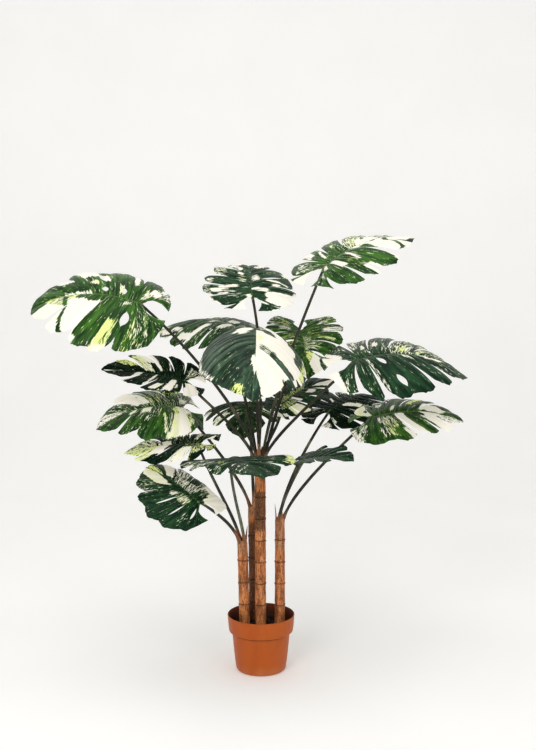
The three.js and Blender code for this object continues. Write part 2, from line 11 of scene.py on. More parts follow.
import bpy
import numpy as np
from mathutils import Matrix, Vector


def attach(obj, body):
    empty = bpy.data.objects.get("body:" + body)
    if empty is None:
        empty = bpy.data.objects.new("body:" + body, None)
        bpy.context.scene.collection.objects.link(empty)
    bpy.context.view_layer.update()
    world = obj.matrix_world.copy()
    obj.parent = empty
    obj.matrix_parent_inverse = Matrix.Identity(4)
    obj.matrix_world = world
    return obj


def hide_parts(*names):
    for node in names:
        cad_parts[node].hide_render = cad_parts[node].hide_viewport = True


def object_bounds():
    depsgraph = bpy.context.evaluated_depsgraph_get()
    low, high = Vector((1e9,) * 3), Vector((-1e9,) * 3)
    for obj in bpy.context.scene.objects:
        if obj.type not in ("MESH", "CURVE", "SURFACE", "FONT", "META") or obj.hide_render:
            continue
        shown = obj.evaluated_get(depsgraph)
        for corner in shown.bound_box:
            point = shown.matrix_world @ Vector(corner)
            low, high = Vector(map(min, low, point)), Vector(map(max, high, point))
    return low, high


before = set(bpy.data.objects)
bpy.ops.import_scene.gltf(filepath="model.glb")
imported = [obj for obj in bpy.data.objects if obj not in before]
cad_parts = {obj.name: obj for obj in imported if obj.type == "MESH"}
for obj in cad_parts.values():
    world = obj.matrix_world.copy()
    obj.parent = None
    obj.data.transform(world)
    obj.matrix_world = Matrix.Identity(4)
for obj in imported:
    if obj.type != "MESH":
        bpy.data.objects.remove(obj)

cad_low, cad_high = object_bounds()
print("The packed model spans", [round(v, 3) for v in cad_high - cad_low], "m")

# %% [markdown]
# ## Where the picture is taken from
# The picture looks down a little, from about three metres away. A lens can be worked out from
# where straight edges such as the pot's two rims fall; here it comes to 57 mm on a 36 mm sensor
# whose long side is upright. The light is a white studio's: pale from all round, with broad
# soft lamps in front and above, so that the leaves shine gently and nothing casts a hard shadow.

# %% Camera
CAMERA_PLACE = (0.0186, -3.06, 1.196)
CAMERA_TILT = 82.5
LENS = 57.02
SENSOR = 36

camera_data = bpy.data.cameras.new("camera")
camera_data.lens = LENS
camera_data.sensor_width = SENSOR
camera = bpy.data.objects.new("camera", camera_data)
camera.location = CAMERA_PLACE
camera.rotation_euler = (math.radians(CAMERA_TILT), 0, 0)
bpy.context.scene.collection.objects.link(camera)
bpy.context.scene.camera = camera
print("Camera", CAMERA_PLACE, "lens", LENS)

# %% Lamps and sky
# A lamp's name, its place, the point that it shines at, its size in metres and its power.
LAMPS = [
    ("lamp_left", (-1.3, -3.1, 2.4), (0, 0, 0.7), 1.6, 38),
    ("lamp_right", (2.0, -2.9, 1.8), (0, 0, 0.7), 1.8, 13),
    ("lamp_above", (0, -0.6, 3.6), (0, 0, 0.6), 2.2, 24),
]
SKY_COLOUR, SKY_STRENGTH = (1.0, 0.995, 0.98, 1), 0.52

for name, place, target, size, power in LAMPS:
    data = bpy.data.lights.new(name, "AREA")
    data.size = size
    data.energy = power
    lamp = bpy.data.objects.new(name, data)
    lamp.location = place
    x, y, z = np.array(place) - np.array(target)
    lamp.rotation_euler = (math.atan2(math.hypot(x, y), z), 0, math.atan2(x, -y))
    bpy.context.scene.collection.objects.link(lamp)
sky = bpy.data.worlds.new("studio_sky")
sky.use_nodes = True
sky.node_tree.nodes["Background"].inputs["Color"].default_value = SKY_COLOUR
sky.node_tree.nodes["Background"].inputs["Strength"].default_value = SKY_STRENGTH
bpy.context.scene.world = sky
bpy.context.scene.view_settings.view_transform = "Standard"
print("Lamps:", [lamp[0] for lamp in LAMPS])

# %% [markdown]
# ## How the surfaces are made
# A modeller could push vertices by hand, sculpt, or let modifiers grow the forms. Here every
# surface is a formula of two numbers on a grid, worked out for all its points at once, because
# the plant's forms are the same few curves again and again. A few helpers do the common work:
# one joins rings of points with faces, one sweeps a ring along a line, and one makes the object.

# %% Small formulas
MILLIMETRE = 0.001
UP = np.array([0.0, 0.0, 1.0])


def unit(vectors):
    """Each vector divided by its own length."""
    return vectors / np.linalg.norm(vectors, axis=-1, keepdims=True)


def swell(values, low, high):
    """A smooth step from 0 at low to 1 at high: three times the square less twice the cube."""
    share = np.clip((values - low) / (high - low), 0, 1)
    return share * share * (3 - 2 * share)


def hump(values, width):
    """A smooth hump: 1 where the values are 0, and about a third at the width to either side."""
    return np.exp(-((values / width) ** 2))


def ring_angles(sides):
    """The angles of the points of a ring."""
    return np.linspace(0, 2 * np.pi, sides, endpoint=False)

# %% Faces of grids and tubes


def grid_faces(rows, columns, closed=False):
    """Four-sided faces between neighbours of a grid stored row by row. A closed grid joins the
    last column to the first."""
    row = np.arange(rows - 1)[:, None]
    column = np.arange(columns if closed else columns - 1)[None, :]
    here = row * columns + column
    beside = row * columns + (column + 1) % columns
    return np.stack([here, beside, beside + columns, here + columns], -1).reshape(-1, 4)


def tube_faces(rows, sides):
    """The faces of a tube of rings, stored ring by ring and then one point for each end:
    four-sided ones between the rings, and a fan of three-sided ones at each end."""
    here = np.arange(sides)
    beside = (here + 1) % sides
    top = (rows - 1) * sides
    first = np.stack([np.full(sides, rows * sides), beside, here], -1)
    last = np.stack([np.full(sides, rows * sides + 1), top + here, top + beside], -1)
    return grid_faces(rows, sides, closed=True), np.concatenate([first, last])


def swept_tube(line, radii):
    """A closed tube: round each point of the line lies a ring, square to the line, whose points
    are at the given radii. The line's two ends close it."""
    along = unit(np.gradient(line, axis=0))
    side = unit(np.cross(along, [1.0, 0.17, 0.0]))
    other = np.cross(along, side)
    turn = ring_angles(radii.shape[1])[None, :, None]
    out = np.cos(turn) * side[:, None] + np.sin(turn) * other[:, None]
    rings = line[:, None] + radii[..., None] * out
    return np.concatenate([rings.reshape(-1, 3), line[:1], line[-1:]]), *tube_faces(*radii.shape)


def distance_along(line):
    """How far each point of the line is from its start, measured along it."""
    return np.concatenate([[0], np.cumsum(np.linalg.norm(np.diff(line, axis=0), axis=1))])


def tube_lanes(line, sides):
    """For each corner of a swept tube's faces: its share of the way round, which reaches 1 on the
    last face, and its distance along the line in metres."""
    rows = len(line)
    far = distance_along(line) * MILLIMETRE
    row = np.repeat(np.arange(rows - 1), sides)
    column = np.tile(np.arange(sides), rows - 1)
    u = np.stack([column, column + 1, column + 1, column], -1) / sides
    v = np.stack([far[row], far[row], far[row + 1], far[row + 1]], -1)
    here = np.arange(sides)
    fan_u = np.stack([here + 0.5, here + 1, here], -1) / sides
    first = np.stack([fan_u, np.zeros_like(fan_u)], -1)
    last = np.stack([fan_u[:, [0, 2, 1]], np.full_like(fan_u, far[-1])], -1)
    return np.concatenate([part.reshape(-1, 2) for part in (np.stack([u, v], -1), first, last)])

# %% Objects


def mesh_piece(name, points, quads, triangles, materials, which=None, maps=None, sharp=40):
    """An object at the origin whose mesh holds the points, given in millimetres. which gives each
    face's material, and maps the named two-number maps of its corners."""
    mesh = bpy.data.meshes.new(name)
    corners = np.concatenate([quads.ravel(), triangles.ravel()])
    starts = np.concatenate(
        [np.arange(len(quads)) * 4, len(quads) * 4 + np.arange(len(triangles)) * 3]
    )
    mesh.vertices.add(len(points))
    mesh.vertices.foreach_set("co", (points * MILLIMETRE).astype(np.float32).ravel())
    mesh.loops.add(len(corners))
    mesh.loops.foreach_set("vertex_index", corners.astype(np.int32))
    mesh.polygons.add(len(starts))
    mesh.polygons.foreach_set("loop_start", starts.astype(np.int32))
    if which is not None:
        mesh.polygons.foreach_set("material_index", which.astype(np.int32))
    for title, values in (maps or {}).items():
        layer = mesh.uv_layers.new(name=title)
        layer.data.foreach_set("uv", values.astype(np.float32).ravel())
    mesh.update(calc_edges=True)
    mesh.validate()
    mesh.set_sharp_from_angle(angle=math.radians(sharp))
    for material in materials:
        mesh.materials.append(material)
    piece = bpy.data.objects.new(name, mesh)
    bpy.context.scene.collection.objects.link(piece)
    return piece


def stands_for(piece, node):
    """The piece rides on the plant's one body and takes the place of a plain form."""
    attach(piece, "root")
    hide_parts(node)
    print(piece.name, "has", len(piece.data.polygons), "faces")


# %% [markdown]
# ## How the finishes are made
# A finish is a small tree of nodes. Painting a picture by hand would give one fixed look; nodes
# that work from the surface's own coordinates give detail at every scale. To keep each finish
# short, a value that changes over the surface is wrapped in a small class: adding, taking away
# or multiplying such a value adds the Math node that does it. An effect that several finishes
# share, such as bark, is a node group, built once and placed with each finish's own colours.

# %% Values that change over the surface


class Value:
    """A number, place or colour that changes over the surface: one output of a node. Each
    of the signs +, - and * after a Value, or a minus before it, adds one Math node."""

    def __init__(self, tree, socket):
        self.tree, self.socket = tree, socket

    def __add__(self, other):
        return sum_of("ADD", self, other)

    def __sub__(self, other):
        return sum_of("SUBTRACT", self, other)

    def __rsub__(self, other):
        return sum_of("SUBTRACT", other, self)

    def __mul__(self, other):
        return sum_of("MULTIPLY", self, other)

    def between(self, low, high, to_low=0.0, to_high=1.0):
        """The value's smooth way from low to high, held at both ends."""
        inputs = {"Value": self, "From Min": low, "From Max": high, "To Min": to_low, "To Max": to_high}
        return value_of(self.tree, "ShaderNodeMapRange", {"interpolation_type": "SMOOTHSTEP"}, inputs)

    def mix(self, first, second):
        """Two colours mixed by this share from 0 to 1."""
        inputs = {0: self, 6: first, 7: second}
        return value_of(self.tree, "ShaderNodeMix", {"data_type": "RGBA"}, inputs, 2)


def connect(tree, value, socket):
    """A Value is linked to the socket, and a plain number or colour is typed into it."""
    if isinstance(value, Value):
        tree.links.new(value.socket, socket)
    else:
        socket.default_value = value


def add_node(tree, kind, settings, inputs):
    """A new node with its settings and inputs."""
    node = tree.nodes.new(kind)
    for key, value in settings.items():
        setattr(node, key, value)
    for key, value in inputs.items():
        connect(tree, value, node.inputs[key])
    return node


def value_of(tree, kind, settings, inputs, output=0):
    """What one output of a new node gives."""
    return Value(tree, add_node(tree, kind, settings, inputs).outputs[output])


def sum_of(operation, *numbers):
    """One sum of numbers, such as MULTIPLY or SINE. At least one of them is a Value."""
    tree = next(number.tree for number in numbers if isinstance(number, Value))
    return value_of(tree, "ShaderNodeMath", {"operation": operation}, dict(enumerate(numbers)))


# %% Places and noise


def object_place(tree):
    """The point's own place in metres."""
    return value_of(tree, "ShaderNodeTexCoord", {}, {}, "Object")


def own_map(tree, title):
    """The point's place on one of the piece's own maps."""
    return value_of(tree, "ShaderNodeUVMap", {"uv_map": title}, {})


def parts_of(place, count=2):
    """The first numbers of a place."""
    node = add_node(place.tree, "ShaderNodeSeparateXYZ", {}, {0: place})
    return [Value(place.tree, socket) for socket in node.outputs[:count]]


def noise(place, scale, detail=2.0, roughness=0.5, distortion=0.0):
    """Soft random values near one half."""
    inputs = {"Vector": place, "Scale": scale, "Detail": detail, "Roughness": roughness,
              "Distortion": distortion}
    return value_of(place.tree, "ShaderNodeTexNoise", {}, inputs)


def stretched(place, x, y, z=1.0, shift=0.0):
    """A place with its axes made longer or shorter, so that a pattern on it is drawn out."""
    inputs = {"Vector": place, "Scale": (x, y, z), "Location": (0, 0, shift)}
    return value_of(place.tree, "ShaderNodeMapping", {}, inputs)


# %% Effects and finishes
NUMBERS = ("Roughness", "Height", "Foot End")
SHADER_INPUTS = {"Colour": "Base Color", "Glow": "Emission Color"}


def new_sockets(tree, side, titles):
    """The named inputs or outputs of an effect: some are numbers, and the rest are colours."""
    for title in titles:
        kind = "NodeSocketFloat" if title in NUMBERS else "NodeSocketColor"
        tree.interface.new_socket(title, in_out=side, socket_type=kind)


def new_group(name, *titles):
    """An effect that several finishes use, with what it is given by each of them."""
    tree = bpy.data.node_groups.new(name, "ShaderNodeTree")
    new_sockets(tree, "INPUT", titles)
    sockets = tree.nodes.new("NodeGroupInput").outputs
    return tree, {title: Value(tree, sockets[title]) for title in titles}


def group_gives(tree, **results):
    """What an effect gives back."""
    new_sockets(tree, "OUTPUT", results)
    sockets = tree.nodes.new("NodeGroupOutput").inputs
    for title, value in results.items():
        connect(tree, value, sockets[title])


def new_finish(name, specular, glow=0.0):
    """A material whose one shader has these constants typed in."""
    material = bpy.data.materials.new(name)
    material.use_nodes = True
    inputs = material.node_tree.nodes["Principled BSDF"].inputs
    inputs["Specular IOR Level"].default_value = specular
    inputs["Emission Strength"].default_value = glow
    return material, material.node_tree


def dress(material, relief=None, **results):
    """The results go to the material's shader. Height becomes fine relief of the given strength
    and distance in metres: a Bump node turns it into the shader's normal."""
    tree = material.node_tree
    inputs = tree.nodes["Principled BSDF"].inputs
    if relief:
        strength, distance = relief
        bump = {"Height": results.pop("Height"), "Strength": strength, "Distance": distance}
        results["Normal"] = value_of(tree, "ShaderNodeBump", {}, bump)
    for title, value in results.items():
        connect(tree, value, inputs[SHADER_INPUTS.get(title, title)])


def colour(red, green, blue):
    """A colour given as a screen shows it, from 0 to 255, made linear for the shader."""
    share = np.array([red, green, blue]) / 255
    linear = np.where(share <= 0.04045, share / 12.92, ((share + 0.055) / 1.055) ** 2.4)
    return (*[float(v) for v in linear], 1.0)


def group_finish(name, group, values, specular, relief, glow=0.0):
    """A material whose looks all come from one effect, placed with its own values. Colours
    among them are given as a screen shows them."""
    material, tree = new_finish(name, specular, glow)
    values = {key: colour(*value) if np.size(value) > 1 else value for key, value in values.items()}
    effect = add_node(tree, "ShaderNodeGroup", {"node_tree": group}, values)
    dress(material, relief, **{socket.name: Value(tree, socket) for socket in effect.outputs})
    return material


# %% [markdown]
# ## The pot
# The pot is moulded in one piece of thin plastic, and its stepped rim stiffens it. A lathe shape
# is one profile carried round an axis, so the profile is written down once, its corners are
# rounded by cutting each one back twice, and every point of it is turned at once. The plastic
# has a faint flow pattern from the mould, a soft gloss, and a little dust near the foot.

# %% Pot surface
# Radius and height in millimetres: up the outer wall, over the rim and down the inner wall.
POT_PROFILE = np.array(
    [[59, 0], [64.4, 1.6], [68, 9], [77.2, 102.6], [76.4, 105.0], [84.2, 106.2], [86, 109.4],
     [89.4, 149.6], [88.4, 152], [87.2, 151.6], [77, 109], [74.3, 101], [65.5, 7], [63, 5]]
)
POT_SIDES = 160
POT_FLOOR = 5
ROUNDINGS = 2


def rounded(profile, times):
    """The open line with each corner cut back to a quarter and three quarters, several times."""
    for _ in range(times):
        near = 0.75 * profile[:-1] + 0.25 * profile[1:]
        far = 0.25 * profile[:-1] + 0.75 * profile[1:]
        inner = np.stack([near, far], 1).reshape(-1, 2)
        profile = np.concatenate([profile[:1], inner, profile[-1:]])
    return profile


def turned(profile, sides, start, end):
    """The profile's points, radius and height, carried round the upright axis, with a point on
    the axis at the start height and one at the end height."""
    turn = ring_angles(sides)
    ring = np.stack([np.cos(turn), np.sin(turn), np.zeros(sides)], -1)
    points = profile[:, None, :1] * ring[None] + profile[:, None, 1:] * UP
    points = np.concatenate([points.reshape(-1, 3), [[0, 0, start], [0, 0, end]]])
    return points, *tube_faces(len(profile), sides)


pot_line = rounded(POT_PROFILE, ROUNDINGS)
pot_surface = turned(pot_line, POT_SIDES, 0, POT_FLOOR)
print("Pot profile has", len(pot_line), "points; its rim is", 2 * pot_line[:, 0].max(), "mm across")

# %% Pot finish
# In metres: how far up the dust reaches; where the painted shade and grime in the crease under the rim
# start and end, and how they fade in and out; and the inner wall, which is painted in shade and
# leans out by 0.157 of its height.
DUST_TOP = 0.035
CREASE_START, CREASE_END, FADE_IN, FADE_OUT = 0.1015, 0.1075, 0.0025, 0.002
WALL_LEAN, WALL_RADIUS, WALL_FOOT = 0.157, 0.0652, 0.107

pot_finish, tree = new_finish("terracotta_plastic", 0.22)
place = object_place(tree)
x, y, z = parts_of(place, 3)
flow = noise(stretched(place, 1, 1, 0.35), 14, 4, 0.6, 0.6)
body = flow.between(0.3, 0.7).mix(colour(172, 78, 20), colour(184, 88, 26))
dusty = z.between(DUST_TOP, 0.0) * flow.between(0.35, 0.65)
body = (dusty * 0.25).mix(body, colour(196, 150, 112))
# Painted shade, with some grime, darkens the crease under the rim, and painted shade darkens the
# wall inside it. The inner wall leans, so a point is inside it where its radius less a share of its
# height is small.
crease = z.between(CREASE_START, CREASE_START + FADE_IN)
crease = crease * z.between(CREASE_END, CREASE_END - FADE_OUT)
leaning_radius = sum_of("SQRT", x * x + y * y) - z * WALL_LEAN
inside = leaning_radius.between(WALL_RADIUS, WALL_RADIUS - 0.0016)
inside = inside * z.between(WALL_FOOT, WALL_FOOT + 0.002)
# Painted shade on the wall inside the rim, darkest low down.
painted_inner_shade = inside * z.between(0.156, 0.128, 0.62, 0.95)
# One dark brown for both: painted shade, with grime in the crease.
body = sum_of("MAXIMUM", crease * 0.8, painted_inner_shade).mix(body, colour(66, 34, 16))
dress(pot_finish, (0.35, 0.0008), Colour=body, Roughness=flow.between(0.2, 0.8, 0.38, 0.5),
      Height=flow * 0.6 + noise(place, 900) * 0.15)

pot_shell = mesh_piece("pot_shell", *pot_surface, [pot_finish])
stands_for(pot_shell, "pot")

# %% [markdown]
# ## The soil
# Potting soil is a mound of dark crumbs of peat and bark. A particle system could scatter them,
# but plain faces travel better with the piece: the mound is a round grid lifted by sums of
# waves, and a few hundred crumbs are one twenty-sided lump, turned, stretched and set into it.

# %% Soil mound
SOIL_TOP = 120.0
SOIL_MOUND = 6.0
SOIL_RADIUS = 79.1
SOIL_FOOT = 5.4
SOIL_SIDES = 120
SOIL_RINGS = 44
SOIL_SINK = 1.2
SOIL_SEED = 11


def soil_height(x, y):
    """The mound's height: flat in the middle, falling to the wall, and rough with waves."""
    radius = np.hypot(x, y) / SOIL_RADIUS
    mound = SOIL_TOP + SOIL_MOUND * swell(radius, 1.0, 0.5)
    waves = 1.1 * np.sin(0.21 * x + 1.3) * np.cos(0.17 * y) + 0.8 * np.sin(0.43 * x - 0.37 * y)
    small = 0.5 * np.sin(1.1 * x + 0.9 * y) * np.sin(0.8 * y - 0.7 * x + 2)
    return mound + (waves + small) * (1 - radius**4) - SOIL_SINK


wall = np.array([[60, SOIL_FOOT], [65.0, SOIL_FOOT], [74.0, 100], [SOIL_RADIUS, SOIL_TOP - 1.6]])
inward = np.stack([np.linspace(SOIL_RADIUS - 1, 2.5, SOIL_RINGS), np.zeros(SOIL_RINGS)], -1)
soil_profile = np.concatenate([wall, inward])
soil_points, soil_quads, soil_fans = turned(soil_profile, SOIL_SIDES, SOIL_FOOT, 0)
on_mound = np.arange(len(wall) * SOIL_SIDES, len(soil_profile) * SOIL_SIDES)
lifted = np.concatenate([on_mound, [len(soil_points) - 1]])
soil_points[lifted, 2] = soil_height(soil_points[lifted, 0], soil_points[lifted, 1])
print("Soil mound rises to", round(float(soil_points[:, 2].max()), 1), "mm")

# %% Crumbs
CRUMBS = 620
# The smallest crumb, how much larger the largest is, and the share of it that its middle lies
# above the mound.
CRUMB_SMALL, CRUMB_SPREAD, CRUMB_RISE = 0.9, 3.0, 0.25
golden = (1 + 5**0.5) / 2
corners = np.array([[-1, golden, 0], [1, golden, 0], [-1, -golden, 0], [1, -golden, 0]])
LUMP = unit(np.concatenate([np.roll(corners, shift, axis=1) for shift in range(3)]))
LUMP_FACES = np.array(
    [[0, 11, 5], [0, 5, 1], [0, 1, 7], [0, 7, 10], [0, 10, 11], [1, 5, 9], [5, 11, 4],
     [11, 10, 2], [10, 7, 6], [7, 1, 8], [3, 9, 4], [3, 4, 2], [3, 2, 6], [3, 6, 8],
     [3, 8, 9], [4, 9, 5], [2, 4, 11], [6, 2, 10], [8, 6, 7], [9, 8, 1]]
)
draw = np.random.default_rng(SOIL_SEED)
far = SOIL_RADIUS * 0.97 * np.sqrt(draw.random(CRUMBS))
turn = 2 * np.pi * draw.random(CRUMBS)
seat = np.stack([far * np.cos(turn), far * np.sin(turn)], -1)
size = CRUMB_SMALL + CRUMB_SPREAD * draw.random((CRUMBS, 1, 1)) ** 3
lumps = LUMP[None] * size * (0.65 + 0.7 * draw.random((CRUMBS, 1, 3)))
lumps = lumps * (0.8 + 0.4 * draw.random((CRUMBS, len(LUMP), 1)))
room = SOIL_RADIUS - 0.3 - size[:, 0, 0] * 1.6
seat = seat * np.minimum(1, room / np.maximum(far, 1e-6))[:, None]
level = soil_height(seat[:, 0], seat[:, 1]) + size[:, 0, 0] * CRUMB_RISE
lumps = lumps + np.concatenate([seat, level[:, None]], -1)[:, None]
crumb_faces = LUMP_FACES[None] + len(LUMP) * np.arange(CRUMBS)[:, None, None] + len(soil_points)
soil_fans = np.concatenate([soil_fans, crumb_faces.reshape(-1, 3)])
soil_points = np.concatenate([soil_points, lumps.reshape(-1, 3)])
print(CRUMBS, "crumbs of", len(LUMP_FACES), "faces each")

# %% Soil finish
soil_finish, tree = new_finish("potting_soil", 0.2)
place = object_place(tree)
clod = noise(place, 160, 4, 0.7)
grit = noise(place, 700)
soil_tone = clod.between(0.35, 0.7).mix(colour(22, 15, 10), colour(58, 40, 27))
soil_tone = grit.between(0.68, 0.74).mix(soil_tone, colour(110, 84, 58))
dress(soil_finish, (0.8, 0.0015), Colour=soil_tone, Roughness=grit.between(0.3, 0.7, 0.85, 1.0),
      Height=clod + grit * 0.5)

soil_bed = mesh_piece("soil_bed", soil_points, soil_quads, soil_fans, [soil_finish])
stands_for(soil_bed, "soil")

# %% [markdown]
# ## The stems
# A monstera's stem, or cane, is a thick green rod that turns woody and orange-brown. Every leaf
# that has fallen leaves a ring on it, and dry sheaths cling to its top. Each cane is a tube whose
# radius is a formula of height and angle: a taper, a lip at each ring that runs a little
# aslant, long bark ridges, and a crown that opens for the leaf stalks.

# %% Cane surfaces
CANE_FOOT = 40.0
CANE_RADIUS = 14.0
CANE_SIDES = 56
CROWN_LENGTH, CROWN_TAPER, CROWN_ROUNDING = 40.0, 14.0, 2.3
# A leaf scar is a lip with a dip above it and a faint swelling below: the height of each in
# millimetres, how far it is from the ring, and its width.
SCAR_SHAPE = ((1.5, 0, 1.9), (-0.55, 4.2, 2.2), (0.35, -4.0, 2.0))
# Two sets of long bark ridges and a slow wave: the height of each, how many go round the cane,
# how they turn with each millimetre up it, and how their start depends on the cane.
RIDGES = ((0.22, 11, 0.02, 1), (0.14, 23, -0.013, 2), (0.25, 2, 0.11, 1))
# For each cane: its foot and top in the plan, the height and radius of its crown, the radius of
# the ring of sockets, the lowest leaf scar, the step between scars, and the compass direction
# and height of its two dry scales, or bracts.
CANE_TABLE = {
    "centre": ((0, -32), (-2, -32), 584, 20, 13.3, 187, 58, ((-100, 38), (75, 24))),
    "left": ((-41, -14), (-49, -20), 358, 13.4, 6.4, 184, 60, ((20, 38), (150, 24))),
    "right": ((50, -12), (50, -10), 416, 12.6, 6.4, 180, 59, ((180, 38), (-70, 24))),
    "back": ((-17, 30), (-23, 38), 436, 11.6, 5.2, 176, 60, ((-60, 38), (20, 24))),
}
CANE_FIELDS = ("foot", "top", "crown", "crown_radius", "ring", "first", "step", "bracts")
CANES = {
    name: dict(zip(CANE_FIELDS, row), seed=index + 1)
    for index, (name, row) in enumerate(CANE_TABLE.items())
}


def crown_top(cane):
    """The middle of the top of a cane."""
    return np.array([*cane["top"], cane["crown"]], float)


def cane_rings(cane):
    """The heights of the cane's leaf scars."""
    return np.arange(cane["first"], cane["crown"] - CROWN_LENGTH - 5, cane["step"])


def cane_surface(cane):
    """A straight leaning line from foot to crown, with a radius for every height and angle."""
    seed, crown, crown_radius = cane["seed"], cane["crown"], cane["crown_radius"]
    heights = np.arange(CANE_FOOT, crown + 1, 2.0)
    share = (heights - CANE_FOOT) / (crown - CANE_FOOT)
    foot = np.array([*cane["foot"], CANE_FOOT])
    line = foot + (crown_top(cane) - foot) * share[:, None]
    turn = ring_angles(CANE_SIDES)[None]
    radius = CANE_RADIUS + min(0, crown_radius - CANE_RADIUS) * share
    opened = swell(heights, crown - CROWN_LENGTH, crown - CROWN_TAPER)
    radius = radius + (crown_radius - radius) * opened
    radius = radius - CROWN_ROUNDING * swell(heights, crown - 8, crown + 2)
    radii = np.repeat(radius[:, None], CANE_SIDES, 1)
    height = heights[:, None]
    for index, ring in enumerate(cane_rings(cane)):
        aslant = ring + 1.4 * np.sin(turn + index * 2.1 + seed) + 0.5 * np.sin(3 * turn + index)
        away = height - aslant
        radii += sum(high * hump(away - place, width) for high, place, width in SCAR_SHAPE)
    for high, number, twist, start in RIDGES:
        radii += high * np.sin(number * turn + twist * height + start * seed)
    return line, radii


print("Leaf scars:", {name: len(cane_rings(cane)) for name, cane in CANES.items()})

# %% Dry scales
BRACT_ROWS, BRACT_SIDES, BRACT_SINK = 30, 20, 18
BRACT_WIDTH, BRACT_THICK, BRACT_INSET, BRACT_CURL = 4.6, 1.9, 3.2, 0.055


def bract_surface(cane, compass, height):
    """A dry pointed scale on the edge of the crown: a flat tube whose width swells and then
    runs out to a point, hugging the crown at its foot."""
    angle = math.radians(compass)
    out = np.array([math.cos(angle), math.sin(angle), 0])
    across = np.cross(UP, out)
    share = np.linspace(0, 1, BRACT_ROWS)
    off_axis = cane["crown_radius"] - BRACT_INSET + 4 * share**1.3
    above = (BRACT_SINK + height) * share - BRACT_SINK
    line = crown_top(cane) + out * off_axis[:, None] + UP * above[:, None]
    turn = ring_angles(BRACT_SIDES)
    wide = BRACT_WIDTH * np.sin(np.pi * np.clip(share * 0.86 + 0.13, 0, 1)) ** 0.8 + 0.25
    thick = BRACT_THICK * (1 - share) ** 0.7 + 0.3
    sideways = wide[:, None] * np.cos(turn)
    outward = thick[:, None] * np.sin(turn) - BRACT_CURL * sideways**2
    points = line[:, None] + across * sideways[..., None] + out * outward[..., None]
    points = np.concatenate([points.reshape(-1, 3), line[:1], line[-1:]])
    quads, fans = tube_faces(BRACT_ROWS, BRACT_SIDES)
    return points, quads[:, ::-1], fans[:, ::-1]


print("Dry scales:", sum(len(cane["bracts"]) for cane in CANES.values()))

# %% Bark finish
bark_group, given = new_group("bark_pattern", "Young", "Old", "Streak", "Scar", "Aged_Or_Shaded")
place = object_place(bark_group)
fibres = noise(stretched(place, 1, 1, 0.15), 480, 4, 0.65, 0.2)
bands = noise(stretched(place, 1, 1, 0.22), 90, 3, 0.55)
specks = noise(stretched(place, 1, 1, 1.3), 300, 3, 0.7)
age_or_shade, scar = parts_of(own_map(bark_group, "tones"))
# Where the bark is aged, and where painted shade darkens the back cane.
aged_or_shaded = (age_or_shade + (fibres - 0.5) * 1.2).between(0.3, 0.7)
bark_tone = bands.between(0.38, 0.62).mix(given["Young"], given["Old"])
for share, tone in (
    (fibres.between(0.5, 0.66), "Streak"),
    (aged_or_shaded * 0.82, "Aged_Or_Shaded"),
    (specks.between(0.55, 0.64) * 0.8, "Scar"),
    (specks.between(0.43, 0.33) * 0.7, "Young"),
    (scar, "Scar"),
):
    bark_tone = share.mix(bark_tone, given[tone])
group_gives(bark_group, Colour=bark_tone, Roughness=fibres.between(0.3, 0.7, 0.5, 0.75),
            Height=fibres + specks * 0.4)

# Young and old bark, streaks, scars, and the brown of bark that has aged or that lies in painted shade,
# as a screen shows them.
BARK_TONES = {
    "orange_bark": ((224, 142, 84), (156, 92, 50), (88, 50, 28), (42, 26, 18), (66, 44, 24)),
    "dry_sheath": ((206, 142, 98), (148, 98, 62), (100, 64, 40), (56, 38, 26), (66, 44, 24)),
}
BARKS = [
    group_finish(name, bark_group, dict(zip(given, tones)), 0.25, (0.6, 0.0012))
    for name, tones in BARK_TONES.items()
]
print("Bark finishes:", [material.name for material in BARKS])

# %% Canes in place
# For each cane, the heights between which its bark is darker brown, over how many millimetres
# that fades in and out, and the height above which it is a dry sheath. On the centre cane that
# band is aged bark; on the back cane, which stands behind the others, it is painted shade.
AGED_OR_SHADED_BARK = {"centre": (420, 494, 64, 12), "back": (0, 395, 1, 80)}
NOT_AGED_OR_SHADED = (900, 901, 1, 1)
SHEATH_FROM = {"centre": 552, "left": 322, "right": 330, "back": 410}


def joined(parts):
    """Several surfaces in one: their points in a row, with each face counting from its own."""
    starts = np.cumsum([0] + [len(part[0]) for part in parts])
    points = np.concatenate([part[0] for part in parts])
    quads, fans = (
        np.concatenate([part[kind] + start for part, start in zip(parts, starts)]) for kind in (1, 2)
    )
    return points, quads, fans


for name, cane in CANES.items():
    bracts = [bract_surface(cane, *bract) for bract in cane["bracts"]]
    points, quads, fans = joined([swept_tube(*cane_surface(cane)), *bracts])
    z = points[:, 2]
    scars = 0.9 * np.max([hump(z - ring - 1.0, 1.5) for ring in cane_rings(cane)], 0)
    # Aged bark on the centre cane and painted shade on most of the back cane make a darker brown band.
    low, high, fade_in, fade_out = AGED_OR_SHADED_BARK.get(name, NOT_AGED_OR_SHADED)
    aged_or_shaded = swell(z, low - fade_in, low) * swell(z, high + fade_out, high - fade_out)
    tones = np.stack([aged_or_shaded, scars], -1)[np.concatenate([quads.ravel(), fans.ravel()])]
    middle = np.concatenate([points[quads].mean(1)[:, 2], points[fans].mean(1)[:, 2]])
    which = np.where(middle > SHEATH_FROM[name], 1, 0)
    piece = mesh_piece(f"stem_{name}", points, quads, fans, BARKS, which, {"tones": tones})
    stands_for(piece, f"cane_{name}")

# %% [markdown]
# ## The leaves in numbers
# A leaf is set by where its midrib starts, where that points, and how the blade bends. The
# same few numbers gave the plain blades of the model, so they are repeated here in millimetres
# and degrees. One row is a leaf: its cane, the base, the heading, rise and roll of the midrib,
# length and width, arch, droop of the right and left half, fold, the kinds of the five seams
# on each half, the width of the splits, the bow of the stalk, and the tone of green. Where the
# kinds are left empty, the half's own splits follow further down.

